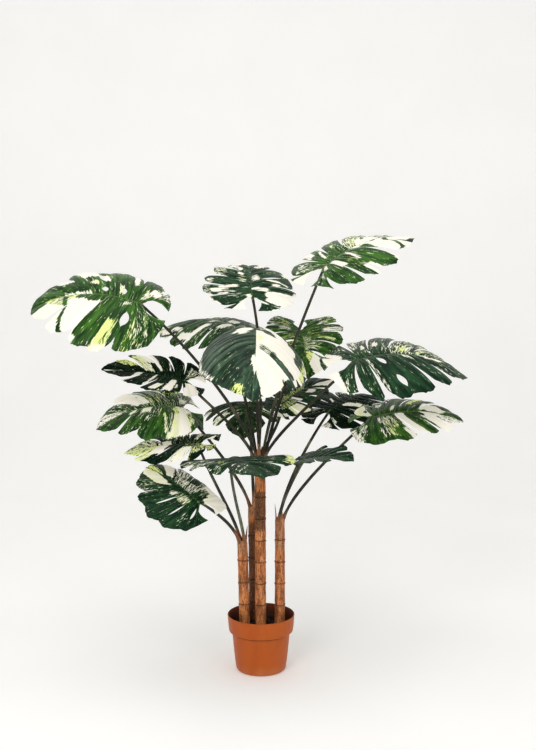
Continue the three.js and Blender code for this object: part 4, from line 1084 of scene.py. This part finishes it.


# %% [markdown]
# ## Where the blades are white
# The variegation is a sport of the plant: some cell lines make no green, and they run from the
# midrib to the margin along the veins. So a list of sectors and streaks is kept for each half
# of a leaf in its own lanes: from one seam to the next across, and from midrib to margin along.
# They are painted in order with soft edges into a map, and the finish breaks those edges up.
# A mark is (from lane, to lane, from row, to row, cream, yellow, lean). A lean of 0, or a yellow
# and a lean of 0, are left off.

# %% Marks, leaf by leaf
MARKS = {
    (1, "left"): [
        (1.1, 2, .15, 1.05, .36, .5), (2, 2.55, .1, 1.05, .12, .2), (2.55, 2.8, .45, 1.1, .55, .85),
        (2.78, 3.05, .48, 1.1, .85, .85), (2.5, 3.05, .88, 1.1, .8, .4),
        (3.05, 3.9, .15, .95, .22, .5), (3.95, 6, .2, 1.1, 1), (3.7, 3.98, .9, 1.1, 1),
        (5.1, 6, 0, .5, .6, .6), (4.15, 4.5, .03, .22, 0), (5.38, 5.52, .12, 1.1, 0, 0, -1.3),
        (5.65, 6.05, .5, 1.1, 0), (2.2, 2.75, .08, .12, .9, .2),
    ],
    (1, "right"): [
        (.35, 1.25, .5, 1.1, .48, .1), (1, 1.45, .35, .55, .9, .1), (1.2, 1.65, .1, .38, .6, .4),
        (2.22, 2.46, .37, .8, .9, .1), (3.7, 3.95, .38, .58, 1), (4.2, 4.45, .28, .42, .8, .6),
        (4.05, 4.6, .6, 1.1, .85), (4.95, 5.25, .6, 1.1, .85), (3.05, 3.25, .08, .28, .8, .6),
        (4.6, 5.6, 0, .08, .7, .3),
    ],
    (2, "left"): [
        (0, .5, .3, 1.1, 1), (0, 1, 0, .42, 1), (1, 1.6, 0, .15, .9), (1.5, 2, .2, .45, .42, .2),
        (1, 2.2, .92, 1.1, .7), (2.03, 2.15, .5, .75, .9), (2.2, 2.4, .3, .55, .5, .2),
        (2.3, 2.6, .6, .8, .9, .1), (2.5, 2.95, .45, .65, .6), (2.85, 3.2, .28, .5, .8, 0, -.6),
        (2.3, 3.2, .85, 1.1, .42, .3), (3.2, 3.6, .8, .95, .6, .2), (4, 5, .6, 1.1, .46, .4),
        (3.4, 4.5, .1, .25, .36, .5), (4.55, 4.75, .2, .32, .9), (5.1, 5.35, .3, .9, .7, .1),
        (5.4, 6, .75, 1.1, .7),
    ],
    (2, "right"): [
        (0, .9, .38, .58, .8), (1.15, 2.25, .38, .95, 1), (1.6, 2.2, .3, .45, 1),
        (.5, 2.6, .93, 1.1, 1), (2.3, 2.85, .1, .33, .72, .1, -.5), (2.6, 2.95, 0, .15, .9, .1),
        (3.05, 3.25, .43, .62, .95), (3.7, 3.9, .33, .85, .75, .1, -1.1),
        (3.85, 4.6, .03, .2, .56, .1), (4.1, 4.5, .85, 1.1, .8), (5.2, 5.55, .35, .95, .7, .1),
    ],
    (3, "left"): [
        (0, .6, .25, 1.1, 1), (1.15, 1.7, .15, .75, .42, .35), (2.08, 2.5, .5, 1.1, .7, .1, .3),
        (2.45, 2.62, .15, .5, .8, .3, .9), (3.42, 3.6, .28, .48, .6, .4), (4.05, 4.9, 0, .95, .5, .5),
        (4.95, 5.7, .2, .9, .5, .1), (4.6, 5.7, 0, .25, .95, .1),
    ],
    (3, "right"): [
        (.3, 1, .3, .6, .5), (1, 1.45, .02, .25, .7, .3), (2.02, 2.4, .08, .45, .85, .1),
        (2.45, 3, .3, .65, .3, .9), (2.6, 3.05, .7, 1.1, 1), (3.35, 3.55, .1, .5, .75, .2, -1),
        (4.5, 6.9, .2, 1.1, 1, 0, -.9), (5.4, 5.54, .15, 1.1, 0, 0, -1.3), (5.55, 6.05, .35, 1.1, .1),
        (3.9, 5, 0, .22, .6, .2),
    ],
    (4, "left"): [
        (0, 6, 0, 1.1, 1), (.5, 3.4, .66, .95, 0), (1, 2, .58, .7, 0), (2.3, 4, .84, .95, .62, .9),
        (3, 4, .96, 1.1, 0), (1, 2.3, .12, .33, .05), (.9, 2, 0, .08, 0),
        (4.2, 4.75, .05, .4, .38, .2), (4.4, 4.75, .3, .88, 0), (4.65, 5.1, .82, 1.1, 0),
        (3, 4, 0, .12, 1, .5), (5.78, 6.1, .1, 1.1, 0),
    ],
    (4, "right"): [
        (2.2, 4.8, .93, .97, .8), (1, 2.1, .06, .36, .9, .05), (2, 2.8, .12, .25, .8, .05),
        (3.4, 3.9, .28, .6, .22), (5.45, 5.8, .75, 1.1, .55, .8), (5.2, 6, 0, .12, 1),
    ],
    (5, "left"): [
        (.5, 1.1, .5, 1.1, .38, .4), (1, 1.9, .62, 1.1, .4, .5), (1.6, 1.8, .48, .6, .7, .2),
        (2.5, 3, .5, .98, .6, .3), (3.5, 3.8, .4, .8, .5, .6), (2, 3.5, .15, .45, .3, .8),
        (4, 4.8, .2, .5, .36, .5), (3.2, 5, 0, .18, .4, .5), (5.12, 5.7, .35, 1.1, .9, .1),
        (5.12, 5.6, .05, .35, .7, .9),
    ],
    (5, "right"): [
        (.6, 2, .76, 1.1, .4, .3), (.8, 1.9, .4, .75, .4, .7), (2, 2.6, .3, .6, .5, .3),
        (3, 4.6, .22, .6, .33, .8),
    ],
    (6, "left"): [
        (2.6, 3, .35, .85, .85, 0, .3), (3, 3.6, .7, .86, .95), (3, 3.6, .1, .32, .5, .1),
        (3.8, 4.4, .63, .77, .9), (4.2, 5.2, .82, .93, .9), (1.5, 2, .25, .45, .8, .1),
        (1.3, 1.9, 0, .3, .9, .1), (3.2, 5, .2, .65, .16, .3), (5.3, 6, .6, 1.1, .9, .5),
    ],
    (6, "right"): [(1.8, 2.8, .05, .2, .8, .1), (1, 2, .4, .7, .4, .2)],
    (7, "left"): [
        (0, 1, .3, .85, 1), (1, 1.25, .3, 1.1, .9), (1.25, 4, .1, 1, .28, .2),
        (2, 2.45, .3, .95, .42, .1), (2.6, 2.8, .25, .4, .9), (3.2, 3.42, .3, .47, .9),
        (4.05, 5.75, 0, 1.1, .4, .45), (4.4, 4.7, .1, .3, .6, .7), (4.92, 5.05, .1, .6, .1),
    ],
    (7, "right"): [
        (0, 1, .72, 1.1, 1, .1), (2.5, 4.9, .2, 1.1, .09), (1, 1.4, .5, 1, .3),
        (1.7, 2.1, .3, 1, .25, .3), (2.3, 2.5, .1, .95, .45), (4.3, 4.6, .05, .3, .5),
        (5.1, 6, 0, .32, .9, .4),
    ],
    (8, "left"): [
        (0, 1, .3, .75, .3, .8), (1, 1.65, .25, 1.1, .97, .5), (1.1, 1.6, .08, .28, .9, .3),
        (1.4, 1.6, .3, .45, 0), (2.3, 2.8, .32, .5, .6), (3.45, 3.65, .1, .32, .9),
        (4.2, 4.45, .35, .9, .7, .7), (5.1, 5.9, .1, .6, .9, 0, -.6), (2, 2.9, .65, 1.1, .5),
    ],
    (8, "right"): [
        (0, 1, .25, .6, .42, .1), (.3, 1.3, .72, 1.1, .58, .2), (1, 1.5, .35, .75, .45, .2),
        (1.5, 2.6, 0, .5, .1, .2), (2.2, 2.4, .5, .9, .48, .4), (2.5, 3.4, .15, .85, .46, .55),
        (3, 3.3, .62, 1.1, .1, .2), (2.2, 2.9, .1, .35, .5, .3), (3.65, 4.12, .08, .5, 1),
        (3.6, 4.12, .5, 1.1, 1), (3.3, 3.7, .65, 1.1, .7, .2), (4.82, 5.3, .3, 1.1, 1),
        (5.1, 5.7, 0, .6, .95, .1), (5.3, 6, .4, 1.1, .6, .1),
    ],
    (9, "left"): [
        (0, 1, .6, .68, .5), (1.3, 2, .15, .6, .3, .1), (3.15, 3.35, .2, .45, .8, 0, .9),
        (4.05, 4.65, .5, 1.1, .4),
    ],
    (9, "right"): [
        (0, .5, .7, 1.1, .6, .3), (1, 1.2, .3, .6, .6), (3.1, 3.6, .1, .3, .95, 0, 1.2),
        (3.5, 4, .28, .45, .8, .1),
    ],
    (10, "left"): [
        (0, 1, .3, .55, .55), (1.05, 1.75, .2, 1.1, 1), (1.7, 1.92, .5, 1.1, .9),
        (2, 3.3, .85, 1.1, .35, .8), (2.4, 2.52, .35, .58, .8), (2.62, 3.12, .15, .78, 1),
        (3.3, 3.62, .52, .88, .9, .1), (4.28, 4.38, 0, 1, .95, 0, -.33),
        (5.2, 5.35, 0, 1.1, 1, 0, -.5), (5.78, 6, .3, .9, .8),
    ],
    (10, "right"): [
        (0, .9, 0, 1.1, 1), (1.1, 1.7, .1, .7, .45, .35), (2.1, 2.2, .4, .7, .5, .2),
        (3.25, 3.35, .2, .7, .7, .1, -.5), (3.95, 4.7, .3, 1.1, 1, 0, -.4),
        (3.85, 4.05, .18, .42, .95), (4.1, 4.4, .2, .5, 0), (4.42, 5, .1, .9, .66, .5),
        (5, 5.4, .4, 1.1, .6, .8),
    ],
    (11, "left"): [
        (0, 1.3, .3, 1.1, .05), (0, 1, .18, .35, .25, .8), (1.2, 1.8, .25, .75, .5, .6, .5),
        (1.1, 2.4, .02, .35, .75, .1), (1.75, 2.38, .15, .95, 1), (2.35, 2.95, .3, .97, .85, .5),
        (2.2, 2.75, .08, .35, .62, .8), (2.72, 2.82, .2, .82, 0, 0, .16), (3, 4.1, .5, 1.1, .1, .2),
        (3.28, 3.45, .33, .85, .7, .6, -.65), (3.5, 3.7, .1, .3, .4, .8), (4.1, 4.3, .4, .6, .5, .2),
        (4.3, 4.75, 0, .25, .8, .4), (5.15, 5.3, 0, .3, .7, .3), (4.9, 5.5, .3, 1.1, .12, .1),
        (5.35, 6, .1, 1.1, .16, .3),
    ],
    (11, "right"): [
        (0, 6, 0, 1.1, .3, .3), (.1, 1, .45, 1.1, .56), (1.1, 1.8, .12, .33, .7, .1),
        (3.1, 4.2, .1, .5, .36, .5), (3.3, 4.1, .6, 1.1, .1, .2), (4.25, 5.05, .15, 1.1, .8, .05),
        (5.1, 5.6, .1, 1.1, .3, .1), (5.55, 6, .1, 1.1, .62, .1),
    ],
    (12, "left"): [
        (0, 1.9, .05, 1.1, .46, .6), (1, 1.8, .7, 1.1, .15, .2), (1.9, 3, .05, .35, .3, .6),
        (2.05, 2.95, .3, 1.1, .72, .4), (3.1, 4.15, 0, 1.1, 0), (4.9, 6, 0, 1.1, .62, .6),
        (4.25, 5, .6, 1.1, .7, .55), (4.4, 5.1, .1, .65, 1, 0, -.8),
    ],
    (12, "right"): [
        (0, 1, .25, .7, .8), (2, 2.3, .15, .6, .6, .5), (4.4, 5, 0, .2, .8), (5, 6, 0, 1.1, .5, .5),
    ],
    (13, "left"): [
        (1.2, 1.8, .4, .9, .26, .2), (2.3, 3.6, .1, .33, .5, .45), (3.7, 4, .2, .35, .6, .1),
        (4.2, 5.2, .45, 1, .3, .2), (4.6, 8, .2, 1.1, 1, .42, 1.5),
    ],
    (13, "right"): [
        (0, 1.7, .15, 1.1, 1, .3), (1.6, 2.9, .3, .9, 1, .38), (2.9, 5, .1, .9, .44, .25),
        (2, 2.8, .15, .42, .38, .4), (3.3, 4.15, .28, 1, .1), (3.2, 5, 0, .25, .44, .3),
        (5.1, 5.45, .1, 1.1, 1), (5.5, 5.68, .1, 1.1, .05), (5.7, 6, 0, 1.1, .6, .6),
    ],
    (14, "left"): [(3, 4.8, .84, 1.1, .6, .6), (3, 5.2, .5, .66, .35)],
    (14, "right"): [
        (1.8, 4.2, .5, 1.1, .42, .1), (3.8, 4.6, .38, .6, .35, .9), (5.2, 5.55, .1, 1.1, .3),
        (4, 5, .7, 1, .3, .1),
    ],
    (15, "left"): [(2.2, 3.3, .5, .8, .2, .3)],
    (16, "left"): [(2.5, 3.1, .45, 1.1, .55, .1), (4.3, 4.7, .5, 1.1, .6)],
    (16, "right"): [(4.2, 4.5, .4, .9, .5)],
    (17, "left"): [(1, 5, 0, .2, .4, .7)],
    (17, "right"): [
        (0, 1.3, .7, 1.1, 1), (1.7, 2.7, .45, 1.1, .9, .5), (1, 3, .1, .4, .45, .7),
        (3.1, 3.35, .1, .5, .9), (4.3, 4.8, .3, .55, .85), (5.3, 6, .2, 1.1, 1),
    ],
}

# How thickly the rest of each blade is flecked, leaf by leaf, and how yellow the flecks are.
FLECKING = (0.23, 0.2, 0.24, 0.18, 0.22, 0.25, 0.22, 0.2, 0.1, 0.15, 0.27, 0.24, 0.18, 0.18, 0.15,
            0.2, 0.18)
FLECK_YELLOW = 0.35
SOFT_LANES, SOFT_ROWS = 0.06, 0.05


def painted(leaf, lane):
    """Cream and yellow at every place of a blade: a little of both all over, and then each mark
    in turn is mixed over what is there, by a soft box in lanes and rows."""
    s, r = lane[..., 0], lane[..., 1]
    left = s > LEFT_LANES - 2
    s = np.where(left, s - LEFT_LANES, s)
    cream, yellow = np.full_like(s, FLECKING[leaf["seed"] - 1]), np.full_like(s, FLECK_YELLOW)
    for half, within in (("left", left), ("right", ~left)):
        for mark in MARKS.get((leaf["seed"], half), []):
            s0, s1, r0, r1, white, gold, lean = (*mark, 0, 0)[:7]
            moved = s - lean * (r - r0)
            box = swell(moved, s0 - SOFT_LANES, s0 + SOFT_LANES)
            box = box * swell(moved, s1 + SOFT_LANES, s1 - SOFT_LANES)
            box = box * swell(r, r0 - SOFT_ROWS, r0 + SOFT_ROWS)
            box = box * swell(r, r1 + SOFT_ROWS, r1 - SOFT_ROWS)
            box = np.where(within, box, 0)
            cream = cream * (1 - box) + white * box
            yellow = yellow * (1 - box) + gold * box
    return np.stack([cream, yellow], -1)


print(sum(len(marks) for marks in MARKS.values()), "marks on", len(MARKS), "halves of leaves")

# %% A blade with two sides and a rim
BLADE_THICK, MARGIN_THICK = 1.05, 0.7
RIB_DEPTH, RIB_WIDTH, SIDE_RIB_DEPTH, SIDE_RIB_WIDTH = 2.4, 3.4, 0.8, 2.0
GROOVE_DEPTH, GROOVE_WIDTH = 0.9, 2.6
# How far the margin waves up and down, and the leaves where that is more than usual.
USUAL_RIPPLE = 1.8
RIPPLE = {14: 7.0}


def vertex_normals(points, faces):
    """The direction out of the surface at each point: the mean of its faces', by their size."""
    a, b, c, d = (points[faces[:, corner]] for corner in range(4))
    cross = np.cross(c - a, d - b)
    normals = np.zeros_like(points)
    for corner in range(4):
        np.add.at(normals, faces[:, corner], cross)
    return unit(normals)


def blade_surface(leaf):
    """All lobes of both halves joined: points that fall together on the flat blade become one,
    the under side lies below the upper along its normals, and a rim closes every free edge."""
    length, seed = leaf["length"], leaf["seed"]
    patches = [(side, lobe_grid(leaf, side, lobe)) for side in (1, -1) for lobe in range(6)]
    flat = np.concatenate([(grid[0] * [side, 1]).reshape(-1, 2) for side, grid in patches])
    lane = np.concatenate([grid[1].reshape(-1, 2) for _, grid in patches])
    lift, r, t, wide = (np.concatenate([grid[k].ravel() for _, grid in patches]) for k in (2, 3, 4, 5))
    quads = grid_faces(len(ROWS), len(COLUMNS))
    size = len(ROWS) * len(COLUMNS)
    loose = [(quads[:, ::-1] if side > 0 else quads) + size * i for i, (side, _) in enumerate(patches)]
    loose = np.concatenate(loose)
    places = np.round(flat * 1e5).astype(np.int64)
    _, chosen, same = np.unique(places, axis=0, return_index=True, return_inverse=True)
    faces = same.ravel()[loose]
    veins = np.stack([np.abs(t * wide), np.abs(flat[:, 0]) * length], -1)
    maps = {"lanes": lane, "veins": veins, "paint": painted(leaf, lane)}

    # The upper side: the lobes' relief, a slow wave, a rippled margin and a groove at the midrib.
    x, y = flat[chosen, 0] * leaf["width"] * length, flat[chosen, 1] * length
    r, off_vein, along = r[chosen], (t * wide)[chosen], lane[chosen, 0]
    wave = 2.2 * np.sin(0.019 * x + seed) * np.sin(0.023 * y + 2 * seed) * swell(np.abs(x), 8, 70)
    ripple = RIPPLE.get(seed, USUAL_RIPPLE) * np.sin(4.2 * along + 2 * seed) * swell(r, 0.45, 1)
    groove = GROOVE_DEPTH * hump(x, GROOVE_WIDTH) * swell(y, -3, 12)
    upper = arched(leaf, x, y, lift[chosen] + wave + ripple - groove)

    # The under side, lower by the blade's thickness and by the ribs under the midrib and veins.
    thick = BLADE_THICK + (MARGIN_THICK - BLADE_THICK) * swell(r, 0.9, 1.0)
    far = np.clip(y / length, 0, 1)
    thick = thick + RIB_DEPTH * (1 - 0.8 * far) * hump(x, RIB_WIDTH) * swell(y, -6, 10)
    side_rib = SIDE_RIB_DEPTH * hump(off_vein, SIDE_RIB_WIDTH) * (1 - 0.8 * r)
    thick = thick + side_rib * swell(r, 0.0, 0.04)
    under = upper - vertex_normals(upper, faces) * thick[:, None]
    points = np.clip(np.concatenate([upper, under]), cad_low / MILLIMETRE, cad_high / MILLIMETRE)

    # The rim: an edge is free when no face runs along it the other way.
    count = len(upper)
    edges = np.stack([faces, np.roll(faces, -1, 1)], -1).reshape(-1, 2)
    edge_places = np.stack([loose, np.roll(loose, -1, 1)], -1).reshape(-1, 2)
    free = ~np.isin(edges[:, 0] * count + edges[:, 1], edges[:, 1] * count + edges[:, 0])
    (start, end), (start_place, end_place) = edges[free].T, edge_places[free].T
    rim = np.stack([start, start + count, end + count, end], -1)
    rim_places = np.stack([start_place, start_place, end_place, end_place], -1)
    corners = np.concatenate([loose.ravel(), loose[:, ::-1].ravel(), rim_places.ravel()])
    which = np.repeat([0, 1, 0], [len(faces), len(faces), len(rim)])
    maps = {title: values[corners] for title, values in maps.items()}
    return points, np.concatenate([faces, faces[:, ::-1] + count, rim]), which, maps


# %% Blade finish
blade_group, given = new_group(
    "variegated_blade", "Deep", "Light", "Cream", "Lime", "Vein", "Fresh"
)
lanes = own_map(blade_group, "lanes")
lane, row = parts_of(lanes)
off_side_vein, off_midrib = parts_of(own_map(blade_group, "veins"))
cream, lime = parts_of(own_map(blade_group, "paint"))
wander = noise(stretched(lanes, 3.0, 2.2), 1)
streaks = noise(stretched(lanes, 10, 2.2, 1, 3.0), 1, 4, 0.6, 0.3)
specks = noise(stretched(lanes, 32, 9, 1, 7.0), 1, 3, 0.55)
grain = noise(object_place(blade_group), 420, 2, 0.6)
# Noise along the lanes breaks up the paint. It counts most where the cream is near one half.
doubt = cream * (1.0 - cream) * 4.0
whiteness = cream + ((streaks - 0.5) * (doubt * 1.3 + 0.35) + (specks - 0.5) * (doubt * 1.5 + 0.25))
stray = (specks + streaks * 0.5).between(0.93, 0.97)
white_mask = sum_of("MAXIMUM", whiteness.between(0.47, 0.53), stray * 0.75)
side_vein = off_side_vein.between(1.3, 0.5) * row.between(0.95, 0.3)
folds = sum_of("SINE", (lane + wander * 0.9) * 12.57)
# The folds also make the green lighter and darker across each lobe: painted light and shade.
cloud = wander * 0.6 + streaks * 0.4 + folds * 0.05
green = cloud.between(0.4, 0.66).mix(given["Deep"], given["Light"])
green = (whiteness.between(0.3, 0.5) * 0.55).mix(green, given["Fresh"])
green = (side_vein * 0.45).mix(green, given["Vein"])
green = (off_midrib.between(2.2, 1.2) * 0.5).mix(green, given["Vein"])
lime_mask = (lime + (wander - 0.5) * 0.8).between(0.3, 0.7)
white = lime_mask.mix(given["Cream"], given["Lime"])
white = (side_vein * 0.35).mix(white, given["Lime"])
waves = sum_of("SINE", (lane + wander * 0.25) * 62.8)
height = waves * 0.3 + folds * 1.5 + (grain * 0.25 + streaks * 0.9)
# The white parts glow in their own colour: painted light.
group_gives(blade_group, Colour=white_mask.mix(green, white),
            Roughness=streaks.between(0.3, 0.7, 0.3, 0.46), Height=height,
            Glow=white_mask.mix((0, 0, 0, 1), white))

# Each tone of green: deep, light and vein colours, and how strongly it shines. The darkest tone
# is painted shade: a darker copy of the greens for leaves that lie in shade.
TONES = {
    "bright": ((20, 54, 18), (66, 116, 34), (106, 140, 64), 0.14),
    "middle": ((14, 42, 20), (50, 92, 36), (88, 120, 62), 0.12),
    "deep": ((12, 38, 24), (40, 78, 46), (74, 106, 64), 0.08),
    # Painted sheen: this tone's light green is greyed to stand for a shine.
    "glossy": ((8, 34, 20), (66, 98, 72), (90, 120, 82), 0.16),
    # Painted shade: the greens of leaves that lie in shade.
    "night": ((5, 21, 13), (23, 49, 28), (52, 76, 44), 0.015),
}
UPPER_WHITES = {"Cream": (235, 230, 216), "Lime": (214, 223, 138)}
UNDER_SIDE = {"Deep": (16, 32, 18), "Light": (42, 64, 32), "Cream": (226, 226, 202),
              "Lime": (194, 204, 140)}
FRESH = (84, 130, 40)
# Painted light: the white parts, which are thin and hold no green, glow by this much in their own
# colour, standing in for light that comes through them.
PAINTED_GLOW = 0.3


def blade_finish(tone, side):
    """The upper or the under side of the blades of one tone of green."""
    deep, light, vein, shine = TONES[tone]
    values = {"Deep": deep, "Light": light, "Vein": vein, "Fresh": FRESH, **UPPER_WHITES}
    if side == "under":
        values.update(UNDER_SIDE)
    return group_finish(f"{tone}_{side}", blade_group, values, shine, (0.35, 0.0009), PAINTED_GLOW)


finishes = {tone: [blade_finish(tone, side) for side in ("upper", "under")] for tone in TONES}
print("Blade finishes:", sum(len(pair) for pair in finishes.values()))

# %% Blades in place
KNUCKLE_ROWS, KNUCKLE_SIDES, KNUCKLE_RADIUS = 16, 22, 4.1


def knuckle_surface(leaf):
    """The swollen joint: a short straight tube with seven faint ribs, narrowed at both ends."""
    start, down = knuckle_of(leaf)
    share = np.linspace(0, 1, KNUCKLE_ROWS)
    line = start + down * (KNUCKLE_LENGTH * share)[:, None]
    ribs = 1 + 0.04 * np.sin(7 * ring_angles(KNUCKLE_SIDES)[None])
    radii = (KNUCKLE_RADIUS * (0.8 + 0.2 * share))[:, None] * ribs
    radii = radii * (1 - 0.3 * swell(share, 0.9, 1.0) - 0.25 * swell(share, 0.12, 0.0))[:, None]
    return line, radii


for leaf in leaves:
    number = f"{leaf['seed']:02d}"
    points, quads, which, maps = blade_surface(leaf)
    line, radii = knuckle_surface(leaf)
    knuckle, knuckle_quads, fans = swept_tube(line, radii)
    lanes = tube_lanes(line, KNUCKLE_SIDES)
    blank = np.zeros_like(lanes)
    knuckle_maps = {"lanes": lanes, "veins": blank, "paint": blank}
    maps = {title: np.concatenate([values, knuckle_maps[title]]) for title, values in maps.items()}
    which = np.concatenate([which, np.full(len(knuckle_quads) + len(fans), 2)])
    quads = np.concatenate([quads, knuckle_quads + len(points)])
    piece = mesh_piece(f"blade_{number}", np.concatenate([points, knuckle]), quads, fans + len(points),
                       [*finishes[leaf["tone"]], knuckle_skin], which, maps, 50)
    stands_for(piece, f"leaf_{number}")

# %% [markdown]
# ## The room
# A photographer's sweep is one sheet of paper that runs from the floor up the wall with no
# corner. It is a profile carried sideways: flat under the plant, a quarter circle, then upright.

# %% Pale sweep
SWEEP_FRONT, SWEEP_BEND, SWEEP_RADIUS, SWEEP_HEIGHT, SWEEP_SIDE = -6.0, 1.8, 1.5, 6.0, 7.0
bend = np.linspace(0, np.pi / 2, 24)
curve = np.stack([SWEEP_BEND + SWEEP_RADIUS * np.sin(bend), SWEEP_RADIUS * (1 - np.cos(bend))], -1)
sweep_line = np.concatenate([[[SWEEP_FRONT, 0]], curve, [[SWEEP_BEND + SWEEP_RADIUS, SWEEP_HEIGHT]]])
sides = np.tile([-SWEEP_SIDE, SWEEP_SIDE], len(sweep_line))
sweep = np.column_stack([sides, np.repeat(sweep_line, 2, 0)]) / MILLIMETRE
paper, tree = new_finish("white_paper", 0.1, 0.175)
tone = noise(object_place(tree), 3).between(0.3, 0.7).mix((0.92, 0.915, 0.9, 1), (0.94, 0.935, 0.92, 1))
dress(paper, Colour=tone, Roughness=0.9, Glow=(1.0, 0.99, 0.975, 1))
floor = mesh_piece("floor_sweep", sweep, grid_faces(len(sweep_line), 2), np.zeros((0, 3), int), [paper])
print("Sweep of", len(floor.data.polygons), "faces")
